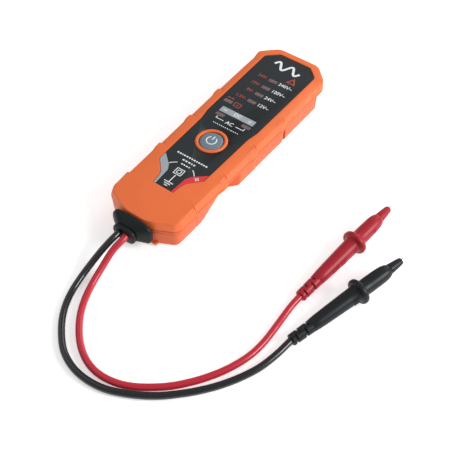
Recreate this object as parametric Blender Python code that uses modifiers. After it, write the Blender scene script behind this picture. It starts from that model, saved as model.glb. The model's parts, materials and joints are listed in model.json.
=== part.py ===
"""Hand-held voltage tester with two wired test probes, modelled piece by piece.

The tester lies on its back: +Z is up through its front face, +Y points from the cable end to the top
end, and the origin is on the surface it lies on, under the middle of the housing and cable gland.
Every size below is in millimetres, and MM turns it into the metres that the scene uses.
"""

import math

import bmesh
import bpy
from mathutils import Matrix, Vector

MM = 0.001
GAP = 0.3  # clearance between two pieces that touch or nearly touch

# Overall
HOUSING_LENGTH = 157.2
HOUSING_WIDTH = 48.6
GLAND_REACH = 9.0
SIDE_TAPER = 1.3  # how much narrower each side is at the cable end

# Batteries (two AAA cells side by side) and the bay that holds them
BATTERY_DIAMETER = 10.3
BATTERY_LENGTH = 44.5
BATTERY_NUB_RADIUS = 1.9
BATTERY_NUB_LENGTH = 1.0
SPRING_LENGTH = 3.4
SPRING_WIRE = 0.6
CONTACT_THICKNESS = 0.5
BAY_WALL = 1.2
DOOR_SETBACK = 0.3
DOOR_THICKNESS = 1.7
DOOR_RIB_SPAN = 9.0
HEADROOM = 0.7

# Housing walls
END_WALL = 2.2
SIDE_WALL = 2.4
FRONT_WALL = 1.5
REAR_FLOOR = 3.5
LABEL_SETBACK = 0.4
LABEL_THICKNESS = 0.6
PARTING_DROP = 5.4  # from the front face down to the joint between the two shells
TIER_DROP = 7.5  # from the front face down to the edge of the narrower rear tier
REAR_DRAFT = 0.7
BLOCK_DRAFT_SHARE = 1.25  # the block at the cable end has this share of the rear draft
HEAD_EDGE_SHARE = 0.2  # the top end's front edge is this share as round as the sides'
FRONT_EDGE = ((0.0, 0.0), (4.2, 1.3), (4.9, 1.7), (5.25, 2.5), (5.4, 3.7))  # (rise, inset)

# Grip pads along both sides: each steps out at its upper end and fades towards the cable
PAD_FIRST = 22.6
PAD_PITCH = 27.7
PAD_COUNT = 4
PAD_RISE = 1.1

# Rear tier: its waists and the notch between its two side lips
WAIST_INSET = 6.3
LOWER_WAIST = (25.5, 62.3)
WAIST_SLANT = 24.6  # how far the block at the cable end takes to narrow to the waist
NOTCH = (104.6, 107.0)
UPPER_WAIST = 16.0  # from the top end

# Label panel and the display windows
LABEL_TOP_MARGIN = 5.1
LABEL_BOTTOM_MARGIN = 24.6
LENS_LENGTH = 5.7
LENS_WIDTH = 2.5
LENS_FLANGE = 0.65
LENS_FLANGE_THICKNESS = 0.9
LEVEL_X = -0.6
POWER_X = -12.0
POLARITY_X = 9.0
LED_SIZE = (3.2, 1.6, 1.6)

# Power button
BUTTON_RADIUS = 6.9
BUTTON_CLEARANCE = 0.35
BUTTON_RING_WIDTH = 2.1
BUTTON_RING_RISE = 0.7
BUTTON_TRAVEL = 0.8
SWITCH_SIZE = (6.2, 6.2, 2.4)
PLUNGER_RADIUS = 1.6

# Circuit board and fasteners
BOARD_THICKNESS = 1.6
BOARD_TOP_DROP = 8.2
CASE_SCREW_RADIUS = 1.3
CASE_SCREW_HEAD = (2.5, 1.8)
CASE_BOSS_RADIUS = 3.0
BOARD_SCREW_RADIUS = 0.8
BOARD_SCREW_HEAD = (1.9, 1.1)

# Leads and probes
LEAD_DIAMETER = 3.7
LEAD_SPACING = 4.8
WIRE_DIAMETER = 1.8
EXIT_HEIGHT = 11.0
BOOT_LENGTH = 12.6
BOOT_RADIUS = 3.1
FLANGE_RADIUS = 6.9
FLANGE_AT = 42.0
BARREL_END = 63.6
CAP_END = 72.4
TIP_END = 75.6
TIP_RADIUS = 0.75
CAP_SPIGOT = 5.5
RED_PROBE = ((92.8, -56.8), (9.0, 72.4))  # boot end, and the direction that the tip points
BLACK_PROBE = ((103.3, -81.0), (21.5, 71.4))
PROBE_TILT = math.atan2(FLANGE_RADIUS - BOOT_RADIUS, FLANGE_AT + 0.6)  # it lies on its flange and boot

# Worked out from the sizes above
HALF_WIDTH = HOUSING_WIDTH / 2
TOP = (HOUSING_LENGTH + GLAND_REACH) / 2
BOTTOM = TOP - HOUSING_LENGTH
DOOR_TOP = DOOR_SETBACK + DOOR_THICKNESS
BATTERY_Z = DOOR_TOP + GAP + BATTERY_DIAMETER / 2
BAY_ROOF = BATTERY_Z + BATTERY_DIAMETER / 2 + GAP
FRONT_INNER = BAY_ROOF + BAY_WALL + HEADROOM
RECESS_FLOOR = FRONT_INNER + FRONT_WALL
LABEL_BOTTOM = RECESS_FLOOR + GAP
LABEL_TOP = LABEL_BOTTOM + LABEL_THICKNESS
THICKNESS = LABEL_TOP + LABEL_SETBACK
PARTING = THICKNESS - PARTING_DROP
TIER = THICKNESS - TIER_DROP
BOARD_TOP = THICKNESS - BOARD_TOP_DROP
BOARD_BOTTOM = BOARD_TOP - BOARD_THICKNESS
BATTERY_X = BATTERY_DIAMETER / 2 + GAP / 2
BAY_HALF = BATTERY_X + BATTERY_DIAMETER / 2 + GAP
BAY_OUTER = BAY_HALF + BAY_WALL
WIRE_ROOM = BAY_OUTER + WIRE_DIAMETER + 2 * GAP  # the inner wires run between the bay and the wall
WAIST_HALF = max(HALF_WIDTH - WAIST_INSET, WIRE_ROOM + SIDE_WALL - 0.2)
NARROW_HALF = WAIST_HALF - SIDE_WALL + 0.2
GLAND_FLANGE = 1.8
BAY_START = BOTTOM + END_WALL + GLAND_FLANGE + 2 * GAP + BAY_WALL + 1.6
BAY_LENGTH = BATTERY_LENGTH + SPRING_LENGTH + 2 * CONTACT_THICKNESS + 5 * GAP
BAY_END = BAY_START + BAY_LENGTH
DOOR_HALF = BAY_OUTER
DOOR_END = BAY_END + BAY_WALL
BUTTON_HOLE = BUTTON_RADIUS + BUTTON_CLEARANCE
BUTTON_FLANGE = BUTTON_RADIUS + 1.2
RING_RADIUS = BUTTON_HOLE + BUTTON_RING_WIDTH
LENS_BOTTOM = FRONT_INNER - GAP - LENS_FLANGE_THICKNESS
BOARD_START = BAY_END + BAY_WALL + 0.6
BOARD_END = TOP - 14.0
BOARD_HALF = NARROW_HALF - 0.5
WIRE_X = BAY_OUTER + GAP + WIRE_DIAMETER / 2
CASE_BOSS_SPLIT = REAR_FLOOR + 4.5


def up(share):
    """The Y of a place between the battery bay and the top end, so the display follows the length."""
    return BAY_END + share * (TOP - BAY_END)


BUTTON_Y = DOOR_END + GAP + BUTTON_FLANGE + 0.05
POLARITY_Y = up(0.3027)
POWER_Y = up(0.4219)
LEVEL_YS = tuple(up(share) for share in (0.4967, 0.5714, 0.6433, 0.7180))

BLACK_ROUTE = (
    (-2.4, -83.1, 11.0), (-2.4, -86.0, 10.9), (-2.7, -89.6, 10.3), (-3.3, -96.0, 8.4),
    (-3.7, -104.0, 5.6), (-3.4, -113.0, 3.1), (-1.8, -121.6, 2.0), (1.3, -129.5, 1.9), (5.8, -136.8, 1.9), (11.6, -143.4, 1.9), (18.0, -148.9, 1.9),
    (25.0, -152.4, 1.9), (32.4, -154.2, 1.9), (40.3, -154.4, 1.9), (48.3, -153.0, 1.9), (56.0, -149.9, 1.9),
    (63.6, -145.8, 1.9), (71.0, -140.6, 1.9), (77.7, -134.4, 1.9), (84.0, -127.6, 1.9), (89.8, -120.0, 1.9),
    (95.0, -111.2, 1.9), (99.2, -101.6, 1.95), (101.8, -91.2, 2.4), (103.2, -81.4, 3.1),
)
RED_ROUTE = (
    (2.4, -83.1, 11.0), (2.4, -86.0, 10.9), (2.0, -89.4, 10.2), (1.6, -94.5, 8.4), (2.2, -102.6, 5.3),
    (3.4, -111.0, 2.9),
    (6.0, -119.6, 2.0), (10.1, -127.8, 1.9), (15.6, -135.2, 1.9), (22.2, -141.6, 1.9), (29.0, -145.9, 1.9),
    (35.9, -148.3, 1.9), (43.0, -148.8, 1.9), (50.4, -147.5, 1.9), (57.4, -144.6, 1.9), (64.4, -140.0, 1.9),
    (71.3, -134.2, 1.9), (77.5, -127.2, 1.9), (83.2, -119.1, 1.9), (88.1, -109.8, 1.9), (91.6, -99.6, 1.9),
    (92.9, -90.2, 1.9), (92.8, -80.6, 1.9), (92.3, -70.6, 1.95), (92.2, -63.2, 2.5), (92.7, -57.2, 3.1),
)

COLOURS = {  # base colour, roughness, metallic
    "orange": ((0.84, 0.20, 0.055), 0.42, 0.0),
    "charcoal": ((0.035, 0.042, 0.048), 0.35, 0.0),
    "button_grey": ((0.20, 0.29, 0.36), 0.35, 0.0),
    "rubber": ((0.022, 0.026, 0.030), 0.55, 0.0),
    "lens": ((0.19, 0.13, 0.13), 0.20, 0.0),
    "board": ((0.02, 0.16, 0.06), 0.45, 0.0),
    "white_plastic": ((0.75, 0.75, 0.72), 0.50, 0.0),
    "steel": ((0.62, 0.62, 0.60), 0.30, 1.0),
    "brass": ((0.78, 0.60, 0.30), 0.30, 1.0),
    "black_plastic": ((0.03, 0.035, 0.04), 0.45, 0.0),
    "red_plastic": ((0.60, 0.035, 0.05), 0.40, 0.0),
    "red_lead": ((0.66, 0.04, 0.07), 0.38, 0.0),
    "battery": ((0.10, 0.12, 0.14), 0.35, 0.3),
}

for old in list(bpy.data.objects):
    bpy.data.objects.remove(old, do_unlink=True)
parts = bpy.data.collections.new("voltage_tester")
cutters = bpy.data.collections.new("cutters")
for collection in (parts, cutters):
    bpy.context.scene.collection.children.link(collection)


# ---- shared helpers -------------------------------------------------------------------------------


def make_material(name):
    material = bpy.data.materials.new(name)
    material.use_nodes = True
    colour, roughness, metallic = COLOURS[name]
    shader = material.node_tree.nodes["Principled BSDF"]
    shader.inputs["Base Color"].default_value = (*colour, 1.0)
    shader.inputs["Roughness"].default_value = roughness
    shader.inputs["Metallic"].default_value = metallic
    material.diffuse_color = (*colour, 1.0)
    return material


MATERIALS = {name: make_material(name) for name in COLOURS}


def finish(name, mesh, slot, origin=(0.0, 0.0, 0.0), collection=parts):
    """An object of a mesh drawn in world millimetres, with its own origin at a given place."""
    shift = Vector(origin)
    mesh.transform(Matrix.Scale(MM, 4) @ Matrix.Translation(-shift))
    obj = bpy.data.objects.new(name, mesh)
    obj.location = shift * MM
    if slot:
        mesh.materials.append(MATERIALS[slot])
    collection.objects.link(obj)
    return obj


def mesh_from(bm, name):
    bmesh.ops.recalc_face_normals(bm, faces=bm.faces)
    mesh = bpy.data.meshes.new(name)
    bm.to_mesh(mesh)
    bm.free()
    return mesh


def box(name, low, high, slot=None, origin=(0.0, 0.0, 0.0)):
    bm = bmesh.new()
    bmesh.ops.create_cube(bm, size=1.0)
    size = [b - a for a, b in zip(low, high)]
    middle = [(a + b) / 2 for a, b in zip(low, high)]
    bmesh.ops.transform(bm, matrix=Matrix.Translation(middle) @ Matrix.Diagonal((*size, 1.0)), verts=bm.verts)
    return finish(name, mesh_from(bm, name), slot, origin, parts if slot else cutters)


def rod(name, radius, start, end, slot=None, sides=24, origin=(0.0, 0.0, 0.0)):
    """A cylinder between two points."""
    bm = bmesh.new()
    start, end = Vector(start), Vector(end)
    turn = (end - start).to_track_quat("Z", "Y").to_matrix().to_4x4()
    place = Matrix.Translation((start + end) / 2) @ turn
    bmesh.ops.create_cone(bm, cap_ends=True, segments=sides, radius1=radius, radius2=radius,
                          depth=(end - start).length, matrix=place)
    return finish(name, mesh_from(bm, name), slot, origin, parts if slot else cutters)


def plate(name, outline, low, high, slot=None, origin=(0.0, 0.0, 0.0), turn=None):
    """A flat outline in X and Y, from one height to another; turn maps it to another plane."""
    curve = bpy.data.curves.new(name, "CURVE")
    curve.dimensions = "2D"
    curve.fill_mode = "BOTH"
    curve.extrude = (high - low) / 2
    spline = curve.splines.new("POLY")
    spline.points.add(len(outline) - 1)
    for point, (x, y) in zip(spline.points, outline):
        point.co = (x, y, 0.0, 1.0)
    spline.use_cyclic_u = True
    drawn = bpy.data.objects.new(name + "_curve", curve)
    cutters.objects.link(drawn)
    graph = bpy.context.evaluated_depsgraph_get()
    mesh = bpy.data.meshes.new_from_object(drawn.evaluated_get(graph))
    bpy.data.objects.remove(drawn)
    bm = bmesh.new()
    bm.from_mesh(mesh)
    bmesh.ops.remove_doubles(bm, verts=bm.verts, dist=0.0001)
    caps = [face for face in bm.faces if abs(face.normal.z) > 0.99]
    bmesh.ops.delete(bm, geom=caps, context="FACES")
    bmesh.ops.holes_fill(bm, edges=bm.edges, sides=0)
    bmesh.ops.translate(bm, verts=bm.verts, vec=(0.0, 0.0, (low + high) / 2))
    if turn:
        bmesh.ops.transform(bm, matrix=turn, verts=bm.verts)
    return finish(name, mesh_from(bm, name), slot, origin, parts if slot else cutters)


def loft(name, rings, slot=None, origin=(0.0, 0.0, 0.0)):
    """A closed solid through rings of matching points."""
    bm = bmesh.new()
    rows = [[bm.verts.new(point) for point in ring] for ring in rings]
    count = len(rows[0])
    for lower, upper in zip(rows, rows[1:]):
        for i in range(count):
            j = (i + 1) % count
            bm.faces.new((lower[i], lower[j], upper[j], upper[i]))
    bm.faces.new(rows[0])
    bm.faces.new(rows[-1])
    return finish(name, mesh_from(bm, name), slot, origin, parts if slot else cutters)


def turned(name, profile, slot, closed=False, steps=24):
    """A turned piece about local Z. The profile runs down its outer side, from top to bottom."""
    bm = bmesh.new()
    points = [bm.verts.new((r, 0.0, z)) for r, z in profile]
    pairs = list(zip(points, points[1:]))
    if closed:
        pairs.append((points[-1], points[0]))
    for pair in pairs:
        bm.edges.new(pair)
    mesh = bpy.data.meshes.new(name)
    bm.to_mesh(mesh)
    bm.free()
    obj = finish(name, mesh, slot)
    screw = obj.modifiers.new("Turn", "SCREW")
    screw.steps = steps
    screw.render_steps = steps
    screw.use_merge_vertices = True
    screw.merge_threshold = 0.00001
    screw.use_smooth_shade = True
    return obj


def tube(name, points, diameter, slot, resolution=2):
    """A tube through points that are already close together, with closed ends."""
    curve = bpy.data.curves.new(name, "CURVE")
    curve.dimensions = "3D"
    curve.bevel_depth = diameter / 2 * MM
    curve.bevel_resolution = resolution
    curve.use_fill_caps = True
    spline = curve.splines.new("POLY")
    spline.points.add(len(points) - 1)
    for point, place in zip(spline.points, points):
        point.co = (*(Vector(place) * MM), 1.0)
    curve.materials.append(MATERIALS[slot])
    obj = bpy.data.objects.new(name, curve)
    parts.objects.link(obj)
    return obj


def boolean(target, operation, *others):
    for other in others:
        modifier = target.modifiers.new(other.name, "BOOLEAN")
        modifier.operation = operation
        modifier.solver = "EXACT"
        modifier.object = other
        other.hide_render = True
        other.display_type = "WIRE"
    return target


def cut(target, *others):
    return boolean(target, "DIFFERENCE", *others)


def join(target, *others):
    return boolean(target, "UNION", *others)


def smooth_points(route, spacing):
    """Points about evenly spaced on a Catmull-Rom curve through the route."""
    route = [Vector(point) for point in route]
    ends = [2 * route[0] - route[1]] + route + [2 * route[-1] - route[-2]]
    fine = []
    for a, b, c, d in zip(ends, ends[1:], ends[2:], ends[3:]):
        for step in range(20):
            t = step / 20
            fine.append(0.5 * (2 * b + (c - a) * t + (2 * a - 5 * b + 4 * c - d) * t**2
                               + (3 * b - 3 * c + d - a) * t**3))
    fine.append(route[-1])
    lengths = [0.0]
    for a, b in zip(fine, fine[1:]):
        lengths.append(lengths[-1] + (b - a).length)
    count = max(2, round(lengths[-1] / spacing))
    places = []
    at = 0
    for i in range(count + 1):
        wanted = lengths[-1] * i / count
        while at < len(fine) - 2 and lengths[at + 1] < wanted:
            at += 1
        span = lengths[at + 1] - lengths[at]
        places.append(fine[at].lerp(fine[at + 1], min(1.0, (wanted - lengths[at]) / span)))
    return places


def rounded(length, width, radius, centre=(0.0, 0.0), steps=3):
    """A rectangle's outline with round corners, length along X."""
    outline = []
    for quarter, (sx, sy) in enumerate(((1, 1), (-1, 1), (-1, -1), (1, -1))):
        for step in range(steps + 1):
            angle = math.pi / 2 * (quarter + step / steps)
            outline.append((centre[0] + sx * (length / 2 - radius) + radius * math.cos(angle),
                            centre[1] + sy * (width / 2 - radius) + radius * math.sin(angle)))
    return outline


# ---- housing --------------------------------------------------------------------------------------


def side_half_width(y):
    return HALF_WIDTH - SIDE_TAPER * (TOP - y) / HOUSING_LENGTH


def pad_stations():
    """(Y, how far the side stands out there) from the cable end to the top end."""
    stations = []
    for i in range(PAD_COUNT):
        step = BOTTOM + PAD_FIRST + i * PAD_PITCH
        stations += [(step - 8.0, 0.0), (step - 4.5, 0.4 * PAD_RISE), (step, PAD_RISE), (step + 0.6, 0.0)]
    return [station for station in stations if BOTTOM + 9.0 < station[0] < TOP - 13.0]


def housing_outline(inset, with_pads=True):
    """The housing's outline in plan, moved in by inset."""
    right = [
        (6.0, BOTTOM + inset),
        (12.0, BOTTOM + 1.9 + inset),
        (side_half_width(BOTTOM) - 0.9 - inset, BOTTOM + 6.9 + inset / 2),
        (side_half_width(BOTTOM) - inset, BOTTOM + 8.6 + inset / 2),
    ]
    for y, rise in pad_stations():
        right.append((side_half_width(y) + (rise if with_pads else 0.0) - inset, y))
    right += [
        (side_half_width(TOP) - 0.1 - inset, TOP - 10.9 - inset / 2),
        (side_half_width(TOP) - 1.3 - inset, TOP - 8.6 - inset / 2),
        (side_half_width(TOP) - 9.4 - inset, TOP - 0.9 - inset),
        (side_half_width(TOP) - 12.4 - inset, TOP - inset),
    ]
    return right + [(-x, y) for x, y in reversed(right)]


def ring_at(z, inset, block_share=1.0, head_share=1.0):
    """A ring of the housing, whose block at the cable end and whose top end take a share of the inset."""
    shares = (block_share, 1.0, head_share)
    ring = []
    for block, side, head in zip(*(housing_outline(inset * share) for share in shares)):
        if side[1] < BOTTOM + LOWER_WAIST[0]:
            side = block
        elif head[1] > TOP - 12.0:
            side = head
        ring.append((*side, z))
    return ring


def label_outline(spread=0.0):
    """The label panel's outline: chamfered top corners, a jog beside the button and a narrow foot."""
    top = TOP - LABEL_TOP_MARGIN
    foot = BOTTOM + LABEL_BOTTOM_MARGIN
    right = [
        (6.7 + spread, foot - spread),
        (7.1 + spread, foot + 5.1),
        (8.3 + spread, foot + 8.6),
        (15.0 + spread, foot + 15.7),
        (15.8 + spread, foot + 54.9),
        (17.1 + spread, foot + 62.2),
        (17.9 + spread, top - 6.4 + spread / 2),
        (10.7 + spread / 2, top + spread),
    ]
    return right + [(-x, y) for x, y in reversed(right)]


def lens_places():
    """name, X and Y of each display window."""
    places = [(f"level_{i + 1}", LEVEL_X, y) for i, y in enumerate(LEVEL_YS)]
    places.append(("power", POWER_X, POWER_Y))
    places.append(("minus", -POLARITY_X, POLARITY_Y))
    places.append(("plus", POLARITY_X, POLARITY_Y))
    return places


def case_screw_places():
    low = BOTTOM + 10.6
    high = TOP - 9.6
    far = WIRE_ROOM + CASE_BOSS_RADIUS
    near = WAIST_HALF - CASE_BOSS_RADIUS - GAP - 1.5
    return ((-far, low), (far, low), (-near, high), (near, high))


def board_screw_places():
    y = (LEVEL_YS[1] + LEVEL_YS[2]) / 2
    return ((-BOARD_HALF + 3.0, y), (BOARD_HALF - 3.0, y))


def gland_opening():
    """The hole in the end wall that the gland's neck passes through."""
    outline = rounded(2 * (GLAND_NECK[0] + GAP), 2 * (GLAND_NECK[1] + GAP), 3.0, (0.0, GLAND_Z))
    return plate("gland_hole_cutter", outline, -BOTTOM - END_WALL - 1.0, -BOTTOM + 1.0, turn=LIE_BACK)


LIE_BACK = Matrix.Rotation(math.radians(90), 4, "X")  # outline Y becomes Z, height becomes -Y
GLAND_Z = (THICKNESS + DOOR_TOP) / 2
GLAND_NECK = (7.6, 3.6)
GLAND_LIP = 1.6
INNER_CORNER = (12.6, 14.4)  # half widths where the cavity's corner at the cable end turns


def front_housing():
    rings = [ring_at(PARTING + rise, inset, head_share=HEAD_EDGE_SHARE) for rise, inset in FRONT_EDGE]
    shell = loft("front_housing", rings, "orange")
    cut(shell, plate("front_cavity_cutter", housing_outline(SIDE_WALL, False), PARTING - 1, FRONT_INNER))
    cut(shell, plate("front_narrow_cutter", inner_outline(), PARTING - 1, FRONT_INNER))
    cut(shell, plate("label_recess_cutter", label_outline(GAP), RECESS_FLOOR, THICKNESS + 1))
    ring_top = LABEL_TOP + BUTTON_RING_RISE
    join(shell, rod("button_ring_solid", RING_RADIUS, (0, BUTTON_Y, FRONT_INNER + 0.2),
                    (0, BUTTON_Y, ring_top), sides=40))
    for i, (x, y) in enumerate(case_screw_places()):
        join(shell, rod(f"front_boss_{i}", CASE_BOSS_RADIUS, (x, y, CASE_BOSS_SPLIT + GAP),
                        (x, y, FRONT_INNER + 0.2), sides=20))
        cut(shell, rod(f"front_pilot_{i}", CASE_SCREW_RADIUS + GAP, (x, y, CASE_BOSS_SPLIT - 1),
                       (x, y, FRONT_INNER - GAP), sides=16))
    for i, (x, y) in enumerate(board_screw_places()):
        join(shell, rod(f"board_boss_{i}", 2.4, (x, y, BOARD_TOP + GAP), (x, y, FRONT_INNER + 0.2), sides=16))
        cut(shell, rod(f"board_pilot_{i}", BOARD_SCREW_RADIUS + GAP, (x, y, BOARD_TOP - 1),
                       (x, y, FRONT_INNER - GAP), sides=12))
    cut(shell, rod("button_hole_cutter", BUTTON_HOLE, (0, BUTTON_Y, FRONT_INNER - 1),
                   (0, BUTTON_Y, ring_top + 1), sides=40))
    for name, x, y in lens_places():
        hole = rounded(LENS_LENGTH + 2 * GAP, LENS_WIDTH + 2 * GAP, 0.9, (x, y), 2)
        cut(shell, plate(f"{name}_window_cutter", hole, FRONT_INNER - 1, RECESS_FLOOR + 1))
    cut(shell, gland_opening())
    return shell


def inner_outline():
    """The narrow hollow between the waists, with room at the cable end for the gland's inner flange."""
    start = BOTTOM + END_WALL
    half = [(GLAND_NECK[0] + GLAND_LIP + 2 * GAP, start), (INNER_CORNER[0], start + 1.1), (INNER_CORNER[1], start + 2.5),
            (NARROW_HALF, start + 4.6), (NARROW_HALF, TOP - 6.0)]
    return half + [(-x, y) for x, y in reversed(half)]


def rear_cutters():
    """Waists and notches that leave two pairs of lips on the narrower rear tier."""
    out = HALF_WIDTH + 5.0
    low, high = (BOTTOM + value for value in LOWER_WAIST)
    lower = [(WAIST_HALF, high - 5.5), (out, high + 7.6), (out, low), (HALF_WIDTH - 1.7, low),
             (HALF_WIDTH - 2.4, low + 0.25 * WAIST_SLANT), (WAIST_HALF + 2.0, low + 0.61 * WAIST_SLANT),
             (WAIST_HALF, low + WAIST_SLANT)]
    first, last = (BOTTOM + value for value in NOTCH)
    notch = [(WAIST_HALF, first), (WAIST_HALF, last), (out, last + 0.8), (out, first - 0.8)]
    start = TOP - UPPER_WAIST
    upper = [(WAIST_HALF, start + 1.5), (WAIST_HALF, TOP + 5), (out, TOP + 5), (out, start - 2.5)]
    pieces = []
    for name, outline in (("lower_waist", lower), ("notch", notch), ("upper_waist", upper)):
        for side in (-1, 1):
            mirrored = [(side * x, y) for x, y in outline]
            pieces.append(plate(f"{name}_cutter_{side}", mirrored, -1.0, TIER))
    return pieces


def lip_pockets():
    """Hollows inside the lips, so that their walls stay thin."""
    inner = NARROW_HALF - 0.2
    outer = HALF_WIDTH - SIDE_TAPER - REAR_DRAFT - SIDE_WALL + 1.0
    spans = ((BOTTOM + LOWER_WAIST[1] + 2, BOTTOM + NOTCH[0] - 2),
             (BOTTOM + NOTCH[1] + 2, TOP - UPPER_WAIST - 4.5))
    pieces = []
    for i, (first, last) in enumerate(spans):
        for side in (-1, 1):
            low, high = sorted((side * inner, side * outer))
            pieces.append(box(f"lip_pocket_{i}_{side}", (low, first, REAR_FLOOR), (high, last, TIER + 1)))
    return pieces


def rear_housing():
    levels = ((0.0, REAR_DRAFT + 0.7), (0.7, REAR_DRAFT), (TIER, 0.2), (PARTING - GAP, 0.0))
    rings = [ring_at(z, inset, block_share=BLOCK_DRAFT_SHARE) for z, inset in levels]
    shell = loft("rear_housing", rings, "orange")
    cut(shell, *rear_cutters())
    wide = housing_outline(SIDE_WALL, False)
    cut(shell, plate("rear_wide_cutter", wide, TIER + 1.6, PARTING + 1))
    cut(shell, plate("rear_narrow_cutter", inner_outline(), REAR_FLOOR, TIER + 2.6))
    cut(shell, *lip_pockets())
    for i, (x, y) in enumerate(case_screw_places()):
        join(shell, rod(f"rear_boss_{i}", CASE_BOSS_RADIUS, (x, y, REAR_FLOOR - 0.2),
                        (x, y, CASE_BOSS_SPLIT), sides=20))
        cut(shell, rod(f"front_boss_pocket_{i}", CASE_BOSS_RADIUS + GAP, (x, y, CASE_BOSS_SPLIT),
                       (x, y, PARTING + 1), sides=20))
        cut(shell, rod(f"rear_screw_hole_{i}", CASE_SCREW_RADIUS + GAP, (x, y, -1),
                       (x, y, CASE_BOSS_SPLIT + 1), sides=16))
        cut(shell, rod(f"rear_counterbore_{i}", CASE_SCREW_HEAD[0] + GAP, (x, y, -1),
                       (x, y, REAR_FLOOR - 0.4), sides=20))
    for i, (x, y) in enumerate(((-10.0, BOARD_START + 4), (10.0, BOARD_START + 4), (0.0, BOARD_END - 4))):
        join(shell, rod(f"board_post_{i}", 2.0, (x, y, REAR_FLOOR - 0.2), (x, y, BOARD_BOTTOM - GAP), sides=14))
    join(shell, box("bay_block", (-BAY_OUTER, BAY_START - BAY_WALL, REAR_FLOOR - 0.4),
                    (BAY_OUTER, BAY_END + BAY_WALL, BAY_ROOF + BAY_WALL)))
    cut(shell, box("bay_cutter", (-BAY_HALF, BAY_START, -1.0), (BAY_HALF, BAY_END, BAY_ROOF)))
    door_recess = DOOR_HALF + GAP
    cut(shell, box("door_recess_cutter", (-door_recess, BOTTOM - 5, -1.0),
                   (door_recess, DOOR_END + GAP, DOOR_TOP + GAP)))
    rail = DOOR_RAIL + GAP
    cut(shell, box("door_groove_cutter", (-rail, BOTTOM - 5, RAIL_LOW - GAP),
                   (rail, DOOR_END + GAP, RAIL_HIGH + GAP)))
    cut(shell, gland_opening())
    return shell


DOOR_RAIL = DOOR_HALF + 0.8
RAIL_LOW = DOOR_SETBACK + 0.6
RAIL_HIGH = RAIL_LOW + 0.6
RAIL_DRAFT = 0.1


def battery_door():
    """Slides towards the cable end: side rails in grooves, and finger ribs cut in its outer face."""
    half = [(DOOR_HALF, DOOR_SETBACK), (DOOR_HALF, RAIL_LOW), (DOOR_RAIL, RAIL_LOW + RAIL_DRAFT),
            (DOOR_RAIL, RAIL_HIGH - RAIL_DRAFT), (DOOR_HALF, RAIL_HIGH), (DOOR_HALF, DOOR_TOP)]
    section = half + [(-x, z) for x, z in reversed(half)]
    middle = (0.0, (BOTTOM + DOOR_END) / 2, DOOR_SETBACK)
    door = plate("battery_door", section, -DOOR_END, -(BOTTOM + GAP), "orange", middle, turn=LIE_BACK)
    for i in range(4):
        y = BOTTOM + 12.0 + i * DOOR_RIB_SPAN / 3
        cut(door, box(f"door_rib_cutter_{i}", (-6.0, y, -1.0), (6.0, y + 1.2, DOOR_SETBACK + 0.6)))
    return door


def label_panel():
    panel = plate("label_panel", label_outline(), LABEL_BOTTOM, LABEL_TOP, "charcoal")
    cut(panel, rod("label_ring_cutter", RING_RADIUS + GAP, (0, BUTTON_Y, LABEL_BOTTOM - 1),
                   (0, BUTTON_Y, LABEL_TOP + 1), sides=40))
    for name, x, y in lens_places():
        hole = rounded(LENS_LENGTH + 2 * GAP, LENS_WIDTH + 2 * GAP, 0.9, (x, y), 2)
        cut(panel, plate(f"{name}_label_cutter", hole, LABEL_BOTTOM - 1, LABEL_TOP + 1))
    return panel


def display():
    """A lens and a light for each window, and the baffle that keeps their light apart."""
    for name, x, y in lens_places():
        lens = plate(f"{name}_lens", rounded(LENS_LENGTH, LENS_WIDTH, 0.8, (x, y), 2),
                     LENS_BOTTOM, LABEL_TOP, "lens")
        flange = rounded(LENS_LENGTH + 2 * LENS_FLANGE, LENS_WIDTH + 2 * LENS_FLANGE, 0.8, (x, y), 2)
        join(lens, plate(f"{name}_lens_flange", flange, LENS_BOTTOM - 0.1, LENS_BOTTOM + LENS_FLANGE_THICKNESS))
        length, width, height = (value / 2 for value in LED_SIZE)
        box(f"{name}_led", (x - length, y - width, BOARD_TOP + GAP),
            (x + length, y + width, BOARD_TOP + GAP + 2 * height), "white_plastic")
    edge = LENS_LENGTH / 2 + 2.2
    low, high = POLARITY_Y - 3.0, LEVEL_YS[-1] + 3.0
    left = GAP - NARROW_HALF
    spine = [(left, low), (POLARITY_X + edge, low), (POLARITY_X + edge, POLARITY_Y + 3.0),
             (LEVEL_X + edge, POLARITY_Y + 3.5), (LEVEL_X + edge, high), (LEVEL_X - edge, high),
             (LEVEL_X - edge, POWER_Y + 3.0), (left, POWER_Y + 3.0)]
    baffle = plate("light_baffle", spine, BOARD_TOP + GAP, LENS_BOTTOM - 0.1 - GAP, "white_plastic")
    for name, x, y in lens_places():
        well = rounded(LENS_LENGTH, LENS_WIDTH + 0.9, 0.6, (x, y), 1)
        cut(baffle, plate(f"{name}_well_cutter", well, BOARD_TOP - 1, LENS_BOTTOM + 1))


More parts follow.
